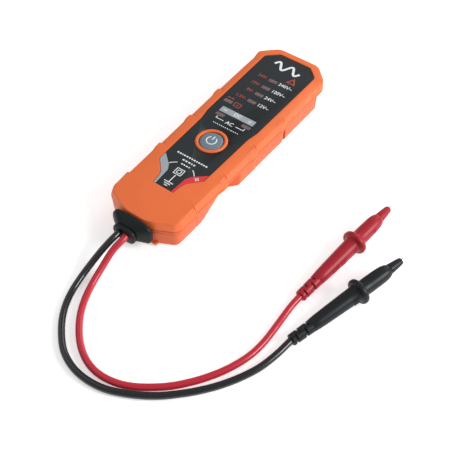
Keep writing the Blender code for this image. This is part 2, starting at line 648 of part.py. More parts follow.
def power_button():
    """The button, the switch under it, and the dome that springs it back."""
    x, y = 0.0, BUTTON_Y
    top = LABEL_TOP + 0.5
    flange_top = FRONT_INNER - GAP
    flange_low = flange_top - 0.8
    switch_low = BOARD_TOP + GAP
    switch_top = switch_low + SWITCH_SIZE[2]
    plunger_top = switch_top + 0.4
    stem_low = plunger_top + 0.1
    flange = BUTTON_FLANGE
    profile = ((0.0, top), (BUTTON_RADIUS * 0.6, top - 0.05), (BUTTON_RADIUS - 0.6, top - 0.2),
               (BUTTON_RADIUS, top - 0.8), (BUTTON_RADIUS, flange_top), (flange, flange_top),
               (flange, flange_low), (1.5, flange_low), (1.5, stem_low), (0.0, stem_low))
    button = turned("power_button", profile, "button_grey", steps=36)
    button.location = Vector((x, y, 0.0)) * MM
    low_plunger = switch_low + 0.5 + BUTTON_TRAVEL
    plunger = turned("switch_plunger", ((0.0, plunger_top), (PLUNGER_RADIUS - 0.3, plunger_top),
                                        (PLUNGER_RADIUS - 0.3, switch_top - 0.9),
                                        (PLUNGER_RADIUS, switch_top - 0.9), (PLUNGER_RADIUS, low_plunger),
                                        (0.0, low_plunger)), "black_plastic", steps=16)
    plunger.location = button.location
    half = SWITCH_SIZE[0] / 2
    switch = box("tact_switch", (x - half, y - half, switch_low), (x + half, y + half, switch_top), "steel")
    cut(switch, box("switch_cavity_cutter", (x - half + 0.5, y - half + 0.5, switch_low + 0.4),
                    (x + half - 0.5, y + half - 0.5, switch_top - 0.5)))
    cut(switch, rod("switch_hole_cutter", PLUNGER_RADIUS, (x, y, switch_low + 1), (x, y, switch_top + 1), sides=16))
    dome = turned("switch_dome", ((0.0, switch_low + 1.1), (0.9, switch_low + 1.05), (1.7, switch_low + 0.8),
                                  (2.2, switch_low + 0.6), (1.7, switch_low + 0.6), (0.9, switch_low + 0.85),
                                  (0.0, switch_low + 0.9)), "brass", steps=16)
    dome.location = button.location


def circuit_board():
    outline = rounded(2 * BOARD_HALF, BOARD_END - BOARD_START, 1.5, (0.0, (BOARD_START + BOARD_END) / 2), 2)
    board = plate("circuit_board", outline, BOARD_BOTTOM, BOARD_TOP, "board")
    for i, (x, y) in enumerate(board_screw_places()):
        cut(board, rod(f"board_hole_{i}", BOARD_SCREW_RADIUS + GAP, (x, y, BOARD_BOTTOM - 1),
                       (x, y, BOARD_TOP + 1), sides=12))
        screw(f"board_screw_{i + 1}", x, y, BOARD_BOTTOM - GAP - BOARD_SCREW_HEAD[1],
              FRONT_INNER - 2 * GAP, BOARD_SCREW_RADIUS, BOARD_SCREW_HEAD)
    box("controller_chip", (-5.0, up(0.80), BOARD_TOP + GAP), (5.0, up(0.80) + 7.0, BOARD_TOP + GAP + 1.4),
        "black_plastic")
    for i, side in enumerate((-1, 1)):
        x = side * (BOARD_HALF - 3.5)
        rod(f"input_resistor_{i + 1}", 1.3, (x, BUTTON_Y - 3.5, BOARD_TOP + GAP + 1.3),
            (x, BUTTON_Y + 5.0, BOARD_TOP + GAP + 1.3), "button_grey", sides=14)


def screw(name, x, y, low, high, radius, head):
    """A pan-head screw that points up, with a cross slot in its head."""
    head_radius, head_height = head
    profile = ((0.0, high), (radius * 0.5, high - 0.2), (radius, high - 1.2), (radius, low + head_height),
               (head_radius, low + head_height), (head_radius, low + 0.4), (head_radius - 0.5, low), (0.0, low))
    body = turned(name, profile, "steel", steps=16)
    body.location = Vector((x, y, 0.0)) * MM
    arm = head_radius * 0.62
    for i, (dx, dy) in enumerate(((arm, 0.28), (0.28, arm))):
        cut(body, box(f"{name}_slot_{i}", (x - dx, y - dy, low - 1), (x + dx, y + dy, low + 0.7)))
    return body


def case_screws():
    for i, (x, y) in enumerate(case_screw_places()):
        screw(f"case_screw_{i + 1}", x, y, REAR_FLOOR - 0.4 - GAP - CASE_SCREW_HEAD[1],
              FRONT_INNER - 2 * GAP, CASE_SCREW_RADIUS, CASE_SCREW_HEAD)


def batteries():
    """Two cells in series: a bridge at the cable end and two contacts at the board end."""
    near = BAY_START + GAP
    far = BAY_END - GAP
    radius = BATTERY_DIAMETER / 2
    body = BATTERY_LENGTH - BATTERY_NUB_LENGTH
    profile = ((0.0, BATTERY_LENGTH), (BATTERY_NUB_RADIUS, BATTERY_LENGTH), (BATTERY_NUB_RADIUS, body),
               (radius - 0.6, body), (radius, body - 0.6), (radius, 0.6), (radius - 0.6, 0.0), (0.0, 0.0))
    plate_z = (BATTERY_Z - 4.2, BATTERY_Z + 4.2)
    for i, side in enumerate((-1, 1)):
        x = side * BATTERY_X
        cell = turned(f"battery_{i + 1}", profile, "battery", steps=28)
        flat_end, spring_way = (near + CONTACT_THICKNESS + GAP, 1) if side < 0 else (far - CONTACT_THICKNESS - GAP, -1)
        spring_end = flat_end + spring_way * (BATTERY_LENGTH + GAP)
        cell.rotation_euler = (math.radians(90 * spring_way), 0.0, 0.0)
        cell.location = Vector((x, flat_end + spring_way * BATTERY_LENGTH, BATTERY_Z)) * MM
        turns = 2.6
        coil = []
        for k in range(27):
            share = k / 26
            angle = 2 * math.pi * turns * share
            r = 1.6 + 1.7 * share
            y = spring_end + spring_way * (SPRING_WIRE / 2 + share * (SPRING_LENGTH - SPRING_WIRE - GAP))
            coil.append((x + r * math.cos(angle), y, BATTERY_Z + r * math.sin(angle)))
        tube(f"battery_spring_{i + 1}", coil, SPRING_WIRE, "steel", 1)
    box("bridge_contact", (-BAY_HALF + GAP, near, plate_z[0]), (BAY_HALF - GAP, near + CONTACT_THICKNESS, plate_z[1]),
        "steel")
    for name, side in (("negative_contact", -1), ("positive_contact", 1)):
        low, high = sorted((side * 0.8, side * (BAY_HALF - GAP)))
        box(name, (low, far - CONTACT_THICKNESS, plate_z[0]), (high, far, plate_z[1]), "steel")


# ---- leads and probes -----------------------------------------------------------------------------


def oval(y, half_x, half_z, z, power=3.2, count=20):
    """A ring in the X-Z plane, between an ellipse and a rectangle."""
    ring = []
    for i in range(count):
        angle = 2 * math.pi * (i + 0.5) / count
        c, s = math.cos(angle), math.sin(angle)
        ring.append((math.copysign(abs(c) ** (2 / power), c) * half_x, y,
                     z + math.copysign(abs(s) ** (2 / power), s) * half_z))
    return ring


def cable_gland():
    wall_in = BOTTOM + END_WALL + GAP
    face = BOTTOM - GAP
    low = DOOR_TOP + GAP + 0.1  # the battery door slides out beneath it
    full = (THICKNESS - 0.5 - low) / 2
    middle = low + full
    neck_x, neck_z = GLAND_NECK
    lip_z = FRONT_INNER - 2 * GAP - GLAND_Z
    end = BOTTOM - GLAND_REACH
    rings = [
        oval(wall_in + GLAND_FLANGE, neck_x + GLAND_LIP, lip_z, GLAND_Z),
        oval(wall_in, neck_x + GLAND_LIP, lip_z, GLAND_Z),
        oval(wall_in - 0.1, neck_x, neck_z, GLAND_Z),
        oval(face + 0.1, neck_x, neck_z, GLAND_Z),
        oval(face, 13.0, full, middle),
        oval(face - 1.4, 12.6, full - 0.1, middle),
        oval(face - 5.0, 8.2, 5.7, EXIT_HEIGHT - 1.0),
        oval(end + 2.6, 6.6, 4.4, EXIT_HEIGHT - 0.2),
        oval(end + 2.3, 6.9, 4.7, EXIT_HEIGHT - 0.1),
        oval(end, 6.5, 4.2, EXIT_HEIGHT),
    ]
    return loft("cable_gland", rings, "rubber")


def leads():
    for name, route, slot in (("black_lead", BLACK_ROUTE, "rubber"), ("red_lead", RED_ROUTE, "red_lead")):
        route = list(route)
        side = -1 if name == "black_lead" else 1
        route[0] = (side * LEAD_SPACING / 2, BOTTOM - GLAND_REACH - GAP, EXIT_HEIGHT)
        points = smooth_points(route, 2.2 * LEAD_DIAMETER)
        points.insert(1, points[0] + Vector((0.0, -1.0, 0.0)))
        tube(name, points, LEAD_DIAMETER, slot)
    wall_in = BOTTOM + END_WALL + GAP
    for name, side, slot in (("black_inner_wire", -1, "rubber"), ("red_inner_wire", 1, "red_lead")):
        start = GLAND_NECK[0] + GLAND_LIP + GAP
        y = wall_in + GLAND_FLANGE / 2 + 0.3
        z = GLAND_Z + 1.0
        lag = 1.6 * (WIRE_X - INNER_CORNER[0])
        route = [(start, y, z), (start + 1.2, y + 0.2, z), (WIRE_X - 0.75, y + 0.42 + lag, z + 0.3),
                 (WIRE_X, y + 2.32 + lag, z + 0.8), (WIRE_X, y + 5.12 + lag, z + 1.2),
                 (WIRE_X, BAY_END - 12.0, z + 1.2), (WIRE_X, BAY_END - 1.0, z + 1.2),
                 (WIRE_X - 0.5, BOARD_START + 1.4, z + 0.8),
                 (WIRE_X - 1.0, BOARD_START + 3.1, BOARD_TOP + 2.1),
                 (WIRE_X - 1.0, BOARD_START + 3.3, BOARD_TOP + 1.2), (WIRE_X - 1.0, BOARD_START + 3.3, BOARD_TOP + GAP)]
        tube(name, smooth_points([(side * x, yy, zz) for x, yy, zz in route], 2.0), WIRE_DIAMETER, slot)


def probe(colour, place):
    """One probe, turned about its own axis from the cable end, then laid down on its flange."""
    (x, y), (dx, dy) = place
    slot = "red_plastic" if colour == "red" else "black_plastic"
    bore = TIP_RADIUS + GAP
    socket = bore + 0.9
    grooves = [(BOOT_RADIUS - 0.1, BOOT_LENGTH)]
    for i in range(2):
        z = BOOT_LENGTH - 1.8 - i * 5.2
        grooves += [(BOOT_RADIUS + 0.25 - 0.1 * i, z), (BOOT_RADIUS - 0.9, z), (BOOT_RADIUS - 0.9, z - 1.1),
                    (BOOT_RADIUS + 0.2 - 0.1 * i, z - 1.1)]
    boot = ((0.0, BOOT_LENGTH), *grooves, (BOOT_RADIUS, 0.5), (BOOT_RADIUS - 0.5, 0.0), (0.0, 0.0))
    handle = (
        (0.0, 26.0), (bore, 26.0), (bore, BARREL_END - CAP_SPIGOT - GAP), (socket + GAP, BARREL_END - CAP_SPIGOT - GAP),
        (socket + GAP, BARREL_END), (3.1, BARREL_END), (3.5, BARREL_END - 0.6), (4.2, BARREL_END - 6.0),
        (4.3, FLANGE_AT + 6.0), (4.2, FLANGE_AT + 2.9), (FLANGE_RADIUS - 0.5, FLANGE_AT + 2.9),
        (FLANGE_RADIUS, FLANGE_AT + 2.3), (FLANGE_RADIUS, FLANGE_AT + 0.6), (FLANGE_RADIUS - 0.5, FLANGE_AT),
        (4.5, FLANGE_AT), (4.4, FLANGE_AT - 5.0), (3.75, BOOT_LENGTH + GAP + 0.4), (3.4, BOOT_LENGTH + GAP),
        (0.0, BOOT_LENGTH + GAP),
    )
    cap = (
        (bore, CAP_END), (1.45, CAP_END), (1.7, CAP_END - 0.8), (2.5, BARREL_END + GAP + 0.5),
        (2.6, BARREL_END + GAP), (socket, BARREL_END + GAP), (socket, BARREL_END - CAP_SPIGOT),
        (bore, BARREL_END - CAP_SPIGOT),
    )
    tip = ((0.0, TIP_END), (0.2, TIP_END - 0.3), (TIP_RADIUS, TIP_END - 2.2), (TIP_RADIUS, 26.0 + GAP), (0.0, 26.0 + GAP))
    heading = Vector((dx, dy, 0.0)).normalized()
    axis = heading * math.cos(PROBE_TILT) + Vector((0.0, 0.0, math.sin(PROBE_TILT)))
    start = Vector((x, y, BOOT_RADIUS * math.cos(PROBE_TILT) + 0.02))
    frame = bpy.data.objects.new(f"{colour}_probe_axis", None)
    frame.location = start * MM
    frame.rotation_mode = "QUATERNION"
    frame.rotation_quaternion = axis.to_track_quat("Z", "Y")
    parts.objects.link(frame)
    for name, profile, finish_slot, closed, steps in (
            ("boot", boot, slot, False, 20), ("handle", handle, slot, False, 28), ("cap", cap, slot, True, 20),
            ("tip", tip, "steel", False, 12)):
        piece = turned(f"{colour}_probe_{name}", profile, finish_slot, closed, steps)
        piece.parent = frame


front_housing()
rear_housing()
battery_door()
label_panel()
display()
power_button()
circuit_board()
case_screws()
batteries()
cable_gland()
leads()
probe("red", RED_PROBE)
probe("black", BLACK_PROBE)
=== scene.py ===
"""The looks of a flat two-probe voltage tester: moulded case, printed panel, gland, leads and probes.

Sizes are in millimetres; MM turns them into metres. Places come from the frame's own boxes.
"""

import json
import math

import bmesh
import bpy
from mathutils import Matrix, Vector


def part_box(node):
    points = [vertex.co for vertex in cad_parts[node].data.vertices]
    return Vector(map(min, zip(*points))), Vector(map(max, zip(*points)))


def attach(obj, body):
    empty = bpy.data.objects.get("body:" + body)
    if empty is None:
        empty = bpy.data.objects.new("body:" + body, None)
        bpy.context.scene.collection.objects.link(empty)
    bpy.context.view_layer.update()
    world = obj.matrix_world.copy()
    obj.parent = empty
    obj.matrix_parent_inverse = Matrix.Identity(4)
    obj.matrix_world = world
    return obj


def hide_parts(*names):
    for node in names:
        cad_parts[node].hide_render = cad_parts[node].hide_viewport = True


MM = 0.001
Z_AXIS = Vector((0.0, 0.0, 1.0))
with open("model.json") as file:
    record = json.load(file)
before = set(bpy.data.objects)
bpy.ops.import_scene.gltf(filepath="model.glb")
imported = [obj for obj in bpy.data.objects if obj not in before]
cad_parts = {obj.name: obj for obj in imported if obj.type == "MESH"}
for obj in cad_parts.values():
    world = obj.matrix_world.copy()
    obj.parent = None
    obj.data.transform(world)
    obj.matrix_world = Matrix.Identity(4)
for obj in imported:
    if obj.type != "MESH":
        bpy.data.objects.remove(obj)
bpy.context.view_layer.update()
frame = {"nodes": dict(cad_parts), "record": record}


def node_box(name):
    """A node's lowest and highest corners in millimetres."""
    low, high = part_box(name)
    return low / MM, high / MM


FRONT_HIGH = node_box("front_housing")[1]
LABEL_LOW, LABEL_HIGH = node_box("label_panel")
GLAND_LOW, GLAND_HIGH = node_box("cable_gland")
BUTTON_LOW, BUTTON_HIGH = node_box("power_button")

HOUSING_LENGTH = 157.2
HALF_WIDTH = 24.3
SIDE_TAPER = 1.3
TOP = FRONT_HIGH.y
BOTTOM = TOP - HOUSING_LENGTH
LABEL_Z = LABEL_HIGH.z
FACE_Z = LABEL_Z + 0.4
PARTING = FACE_Z - 5.4
PAD_STEPS = tuple(BOTTOM + 22.6 + 27.7 * i for i in range(4))
PAD_RISE = 1.1
WAIST = 18.0
BUTTON_AT = (BUTTON_LOW + BUTTON_HIGH) / 2
LENSES = tuple(f"level_{i}_lens" for i in range(1, 5)) + ("power_lens", "minus_lens", "plus_lens")

CAMERA_AT = (208.99, -278.47, 357.6)
CAMERA_AZIMUTH, CAMERA_ELEVATION, CAMERA_LENS = 36.29, 50.35, 69.06

LEAD_DIAMETER = 3.7
BLACK_ROUTE = (
    (-2.4, -83.4, 11.0), (-2.4, -86.0, 10.9), (-2.7, -89.6, 10.3), (-3.3, -96.0, 8.4),
    (-3.7, -104.0, 5.6),
    (-3.4, -113.0, 3.1), (-1.8, -121.6, 2.0), (1.3, -129.5, 1.9), (5.8, -136.8, 1.9), (11.6, -143.4, 1.9),
    (18.0, -148.9, 1.9), (25.0, -152.4, 1.9), (32.4, -154.2, 1.9), (40.3, -154.4, 1.9), (48.3, -153.0, 1.9),
    (56.0, -149.9, 1.9), (63.6, -145.8, 1.9), (71.0, -140.6, 1.9), (77.7, -134.4, 1.9), (84.0, -127.6, 1.9),
    (89.8, -120.0, 1.9), (95.0, -111.2, 1.9), (99.2, -101.6, 1.95), (101.8, -91.2, 2.4),
    (103.2, -81.4, 3.1),
)
RED_ROUTE = (
    (2.4, -83.4, 11.0), (2.4, -86.0, 10.9), (2.0, -89.4, 10.2), (1.6, -94.5, 8.4), (2.2, -102.6, 5.3),
    (3.4, -111.0, 2.9), (6.0, -119.6, 2.0), (10.1, -127.8, 1.9), (15.6, -135.2, 1.9), (22.2, -141.6, 1.9),
    (29.0, -145.9, 1.9), (35.9, -148.3, 1.9), (43.0, -148.8, 1.9), (50.4, -147.5, 1.9), (57.4, -144.6, 1.9),
    (64.4, -140.0, 1.9), (71.3, -134.2, 1.9), (77.5, -127.2, 1.9), (83.2, -119.1, 1.9), (88.1, -109.8, 1.9),
    (91.6, -99.6, 1.9), (92.9, -90.2, 1.9), (92.8, -80.6, 1.9), (92.3, -70.6, 1.95), (92.2, -63.2, 2.5),
    (92.7, -57.2, 3.1),
)
BOOT_LENGTH = 12.6
LEAD_HIDDEN = 8.0  # how much of each lead is inside its probe
BOOT_RADIUS = 3.1
FLANGE_RADIUS = 6.9
FLANGE_AT = 42.0
BARREL_END = 63.6
CAP_END = 72.4
TIP_END = 75.6
TIP_RADIUS = 0.75
PIN_START = 27.0
BARREL_RADIUS = 4.25
ROUND_STEPS = 96
PROBE_TILT = math.atan2(FLANGE_RADIUS - BOOT_RADIUS, FLANGE_AT + 0.6)
PROBES = {"red": ((92.8, -56.8), (9.0, 72.4)), "black": ((103.3, -81.0), (21.5, 71.4))}


# ---- camera and light -----------------------------------------------------------------------------


def place_camera():
    camera = bpy.data.objects.new("camera", bpy.data.cameras.new("camera"))
    bpy.context.scene.collection.objects.link(camera)
    azimuth, elevation = math.radians(CAMERA_AZIMUTH), math.radians(CAMERA_ELEVATION)
    back = Vector((math.sin(azimuth) * math.cos(elevation), -math.cos(azimuth) * math.cos(elevation),
                   math.sin(elevation)))
    right = Vector((math.cos(azimuth), math.sin(azimuth), 0.0))
    turn = Matrix((right, back.cross(right), back)).transposed().to_4x4()
    camera.matrix_world = Matrix.Translation(Vector(CAMERA_AT) * MM) @ turn
    camera.data.lens = CAMERA_LENS
    camera.data.sensor_width = 36.0
    camera.data.clip_start = 0.01
    bpy.context.scene.camera = camera


def area_light(name, place, aim, size, power):
    light = bpy.data.lights.new(name, "AREA")
    light.shape = "SQUARE"
    light.size = size
    light.energy = power
    obj = bpy.data.objects.new(name, light)
    bpy.context.scene.collection.objects.link(obj)
    obj.location = place
    obj.rotation_euler = (Vector(aim) - Vector(place)).to_track_quat("-Z", "Y").to_euler()


def light_studio():
    scene = bpy.context.scene
    scene.view_settings.view_transform = "Standard"
    world = bpy.data.worlds.new("studio")
    scene.world = world
    world.use_nodes = True
    world.node_tree.nodes["Background"].inputs["Color"].default_value = (1.0, 1.0, 1.0, 1.0)
    world.node_tree.nodes["Background"].inputs["Strength"].default_value = 0.46
    area_light("key", (0.85, 0.25, 0.55), (0.02, -0.03, 0.0), 0.4, 8.0)
    area_light("fill", (-0.7, -0.2, 0.9), (0.0, -0.03, 0.0), 0.9, 1.5)
    area_light("rim", (0.1, 0.9, 0.6), (0.03, -0.03, 0.0), 0.6, 2.5)

    floor = shape("floor", [(-3, -3, 0), (3, -3, 0), (3, 3, 0), (-3, 3, 0)], [(0, 1, 2, 3)])
    material, shader = principled("floor_white", (0.92, 0.92, 0.92), 0.9)
    shader.inputs["Emission Color"].default_value = (1.0, 1.0, 1.0, 1.0)
    shader.inputs["Emission Strength"].default_value = 0.42
    floor.data.materials.append(material)


# ---- materials ------------------------------------------------------------------------------------


def principled(name, colour, roughness, metallic=0.0):
    material = bpy.data.materials.new(name)
    material.use_nodes = True
    shader = material.node_tree.nodes["Principled BSDF"]
    shader.inputs["Base Color"].default_value = (*colour, 1.0)
    shader.inputs["Roughness"].default_value = roughness
    shader.inputs["Metallic"].default_value = metallic
    return material, shader


def noise(material, scale, detail=2.0):
    """Noise in object space, whose scale is in waves per metre."""
    nodes, links = material.node_tree.nodes, material.node_tree.links
    place = nodes.new("ShaderNodeTexCoord")
    texture = nodes.new("ShaderNodeTexNoise")
    texture.inputs["Scale"].default_value = scale
    texture.inputs["Detail"].default_value = detail
    links.new(place.outputs["Object"], texture.inputs["Vector"])
    return texture


def spread(material, source, low, high):
    """The source, from 0 to 1, mapped to a range."""
    node = material.node_tree.nodes.new("ShaderNodeMapRange")
    node.inputs["To Min"].default_value = low
    node.inputs["To Max"].default_value = high
    material.node_tree.links.new(source, node.inputs["Value"])
    return node.outputs["Result"]


def moulded(name, colour, roughness, grain=0.10, grain_size=0.35, shade=0.06, coat=0.0,
            specular=0.35):
    """Moulded plastic: a spark-eroded grain, a slow change of tone and an uneven gloss."""
    material, shader = principled(name, colour, roughness)
    nodes, links = material.node_tree.nodes, material.node_tree.links
    tone = noise(material, 60.0, 3.0)
    ramp = nodes.new("ShaderNodeMix")
    ramp.data_type = "RGBA"
    links.new(tone.outputs["Fac"], ramp.inputs["Factor"])
    ramp.inputs["A"].default_value = (*[c * (1 - shade) for c in colour], 1.0)
    ramp.inputs["B"].default_value = (*[min(1.0, c * (1 + shade)) for c in colour], 1.0)
    links.new(ramp.outputs["Result"], shader.inputs["Base Color"])
    fine = noise(material, 1.0 / (grain_size * MM), 2.0)
    links.new(spread(material, fine.outputs["Fac"], roughness - 0.05, roughness + 0.05),
              shader.inputs["Roughness"])
    bump = nodes.new("ShaderNodeBump")
    bump.inputs["Strength"].default_value = grain
    bump.inputs["Distance"].default_value = 0.06 * MM
    links.new(fine.outputs["Fac"], bump.inputs["Height"])
    links.new(bump.outputs["Normal"], shader.inputs["Normal"])
    shader.inputs["Coat Weight"].default_value = coat
    shader.inputs["Specular IOR Level"].default_value = specular
    return material


def brushed(name, colour, roughness):
    """Plated metal with fine drawn lines."""
    material, shader = principled(name, colour, roughness, 1.0)
    links = material.node_tree.links
    lines = noise(material, 3000.0, 4.0)
    links.new(spread(material, lines.outputs["Fac"], roughness - 0.08, roughness + 0.10),
              shader.inputs["Roughness"])
    return material


def lens_plastic():
    """Tinted window plastic over a dim light: a pinkish brown with a fine diffusing lattice."""
    material, shader = principled("lens_plastic", (0.20, 0.125, 0.12), 0.22)
    nodes, links = material.node_tree.nodes, material.node_tree.links
    place = nodes.new("ShaderNodeTexCoord")
    lattice = nodes.new("ShaderNodeTexVoronoi")
    lattice.inputs["Scale"].default_value = 1500.0
    links.new(place.outputs["Object"], lattice.inputs["Vector"])
    mix = nodes.new("ShaderNodeMix")
    mix.data_type = "RGBA"
    links.new(spread(material, lattice.outputs["Distance"], 0.0, 1.6), mix.inputs["Factor"])
    mix.inputs["A"].default_value = (0.30, 0.19, 0.18, 1.0)
    mix.inputs["B"].default_value = (0.13, 0.085, 0.085, 1.0)
    links.new(mix.outputs["Result"], shader.inputs["Base Color"])
    return material


ORANGE = moulded("orange_abs", (0.80, 0.160, 0.042), 0.40, grain=0.16, grain_size=0.45)
# Painted shade: the rear shell and battery door are the same orange plastic as the front, made darker and
# redder here for the sides and underside that face away from the light.
REAR_ORANGE_PAINTED_SHADE = moulded("orange_abs_rear_painted_shade", (0.70, 0.116, 0.026), 0.42, grain=0.16, grain_size=0.45)
LABEL = moulded("panel_charcoal", (0.020, 0.026, 0.029), 0.46,
                grain=0.05, grain_size=0.25, specular=0.25)
RUBBER = moulded("black_rubber", (0.008, 0.010, 0.011), 0.46,
                 grain=0.20, grain_size=0.40, specular=0.2)
BLACK_JACKET = moulded("black_jacket", (0.007, 0.008, 0.010), 0.24,
                       grain=0.05, grain_size=0.8, coat=0.4)
RED_JACKET = moulded("red_jacket", (0.50, 0.016, 0.036), 0.30, grain=0.06, grain_size=0.8, coat=0.2)
RED_PLASTIC = moulded("red_plastic", (0.36, 0.014, 0.026), 0.36,
                      grain=0.12, grain_size=0.5, specular=0.25)
BLACK_PLASTIC = moulded("black_plastic", (0.010, 0.013, 0.015), 0.38,
                        grain=0.14, grain_size=0.5, specular=0.22)
BUTTON_GREY = moulded("button_grey", (0.15, 0.21, 0.26), 0.38, grain=0.08, grain_size=0.3)
LENS = lens_plastic()
WHITE_INK = moulded("white_ink", (0.80, 0.80, 0.80), 0.5, grain=0.03, shade=0.03)
RED_INK = moulded("red_ink", (0.70, 0.035, 0.045), 0.45, grain=0.03, shade=0.04)
DIM_RED_INK = moulded("dim_red_ink", (0.42, 0.060, 0.040), 0.45, grain=0.03, shade=0.04)
GREY_INK = moulded("grey_ink", (0.33, 0.37, 0.40), 0.45, grain=0.03, shade=0.04)
STEEL = brushed("plated_steel", (0.74, 0.73, 0.70), 0.26)


# ---- mesh helpers ---------------------------------------------------------------------------------


def shape(name, points, faces):
    mesh = bpy.data.meshes.new(name)
    mesh.from_pydata([Vector(p) for p in points], [], faces)
    obj = bpy.data.objects.new(name, mesh)
    bpy.context.scene.collection.objects.link(obj)
    return obj


def solid(name, bm, material, sharp=35.0):
    """An object of a mesh built in millimetres, smooth but for its sharp edges."""
    bmesh.ops.recalc_face_normals(bm, faces=bm.faces)
    mesh = bpy.data.meshes.new(name)
    bm.to_mesh(mesh)
    bm.free()
    mesh.transform(Matrix.Scale(MM, 4))
    mesh.shade_smooth()
    mesh.set_sharp_from_angle(angle=math.radians(sharp))
    mesh.materials.append(material)
    obj = bpy.data.objects.new(name, mesh)
    bpy.context.scene.collection.objects.link(obj)
    return obj


def skin(bm, rings, capped=True):
    """Quads between rings that have the same number of points, closed at both ends."""
    rows = [[bm.verts.new(p) for p in ring] for ring in rings]
    count = len(rings[0])
    for a, b in zip(rows, rows[1:]):
        for i in range(count):
            j = (i + 1) % count
            bm.faces.new((a[i], a[j], b[j], b[i]))
    if capped:
        bm.faces.new(list(reversed(rows[0])))
        bm.faces.new(rows[-1])
    return bm


def slab(bm, outline, low, high):
    """A flat plate of an outline in plan."""
    return skin(bm, [[(x, y, z) for x, y in outline] for z in (low, high)])


def cut(target, cutter):
    """Takes the cutter away from the target for good."""
    modifier = target.modifiers.new("cut", "BOOLEAN")
    modifier.operation = "DIFFERENCE"
    modifier.object = cutter
    graph = bpy.context.evaluated_depsgraph_get()
    mesh = bpy.data.meshes.new_from_object(target.evaluated_get(graph))
    target.modifiers.remove(modifier)
    old, target.data = target.data, mesh
    bpy.data.meshes.remove(old)
    bpy.data.objects.remove(cutter)


def arc(centre, radius, first, last, steps):
    """Points on an arc between two angles in degrees."""
    angles = [math.radians(first + (last - first) * i / steps) for i in range(steps + 1)]
    return [(centre[0] + radius * math.cos(a), centre[1] + radius * math.sin(a)) for a in angles]


def round_box(centre, length, width, radius, steps=5):
    outline = []
    for quarter, (sx, sy) in enumerate(((1, 1), (-1, 1), (-1, -1), (1, -1))):
        corner = (centre[0] + sx * (length / 2 - radius), centre[1] + sy * (width / 2 - radius))
        outline += arc(corner, radius, 90 * quarter, 90 * (quarter + 1), steps)
    return outline


def piece(obj, body, slot, *replaced):
    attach(obj, body)
    if replaced:
        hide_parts(*replaced)
    return obj


# ---- leads ----------------------------------------------------------------------------------------


def smooth_points(route, spacing):
    """Points about evenly spaced on a Catmull-Rom curve through the route."""
    route = [Vector(point) for point in route]
    ends = [2 * route[0] - route[1]] + route + [2 * route[-1] - route[-2]]
    fine = []
    for a, b, c, d in zip(ends, ends[1:], ends[2:], ends[3:]):
        steps = max(2, round((c - b).length / spacing))
        for step in range(steps):
            t = step / steps
            fine.append(0.5 * (2 * b + (c - a) * t + (2 * a - 5 * b + 4 * c - d) * t**2
                               + (3 * b - 3 * c + d - a) * t**3))
    return fine + [route[-1]]


def lead(name, route, material, slot):
    along = probe_frame(name.split("_")[0])
    points = smooth_points(route, 1.5) + [along @ Vector((0.0, 0.0, z)) for z in (1.5, 4.0, LEAD_HIDDEN)]
    curve = bpy.data.curves.new(name, "CURVE")
    curve.dimensions = "3D"
    curve.bevel_depth = LEAD_DIAMETER / 2 * MM
    curve.bevel_resolution = 6
    curve.use_fill_caps = True
    spline = curve.splines.new("POLY")
    spline.points.add(len(points) - 1)
    for place, point in zip(spline.points, points):
        place.co = (*(point * MM), 1.0)
    spline.use_smooth = True
    curve.materials.append(material)
    obj = bpy.data.objects.new(name, curve)
    bpy.context.scene.collection.objects.link(obj)
    piece(obj, "tester", slot, name.replace("_cord", "_lead"))


# ---- probes ---------------------------------------------------------------------------------------


def probe_frame(colour):
    """The probe's own axes: Z along it, from the lead's end to the tip."""
    (x, y), (dx, dy) = PROBES[colour]
    heading = Vector((dx, dy, 0.0)).normalized()
    axis = heading * math.cos(PROBE_TILT) + Vector((0.0, 0.0, math.sin(PROBE_TILT)))
    start = Vector((x, y, BOOT_RADIUS * math.cos(PROBE_TILT) + 0.02))
    return Matrix.Translation(start) @ axis.to_track_quat("Z", "Y").to_matrix().to_4x4()


def revolve(bm, profile, place, steps=72, relief=None, hollow=False):
    """A body turned about Z, with an optional relief: how far (angle, height) moves the surface out.

    The ends are closed, or with hollow the profile ends where it starts and leaves a hole through.
    """
    rings = []
    for radius, z in profile:
        ring = []
        for i in range(steps):
            angle = 2 * math.pi * i / steps
            r = radius + (relief(angle, z) if relief else 0.0)
            ring.append(place @ Vector((r * math.cos(angle), r * math.sin(angle), z)))
        rings.append(ring)
    skin(bm, rings, capped=not hollow)
    if hollow:
        bmesh.ops.remove_doubles(bm, verts=bm.verts, dist=1e-5)
    return bm


def eased(points, spacing):
    """A profile with straight stretches divided, so that relief can shape them."""
    out = [points[0]]
    for (r0, z0), (r1, z1) in zip(points, points[1:]):
        count = max(1, round(math.hypot(r1 - r0, z1 - z0) / spacing))
        out += [(r0 + (r1 - r0) * i / count, z0 + (z1 - z0) * i / count) for i in range(1, count + 1)]
    return out


def boot_relief(left):
    """Slots half round the boot, on alternate sides, shaped like the bend slots of a strain relief; left is
    the left side's angle.
    """
    def relief(angle, z):
        for middle, side in ((2.3, -1), (5.2, 1), (8.1, -1), (11.0, 1)):
            inside = (0.68 - abs(z - middle)) / 0.18
            reach = side * math.cos(angle - left) + 0.12
            if inside > 0 and reach > 0:
                return -1.05 * min(1.0, inside) * min(1.0, reach / 0.2)
        return 0.0
    return relief


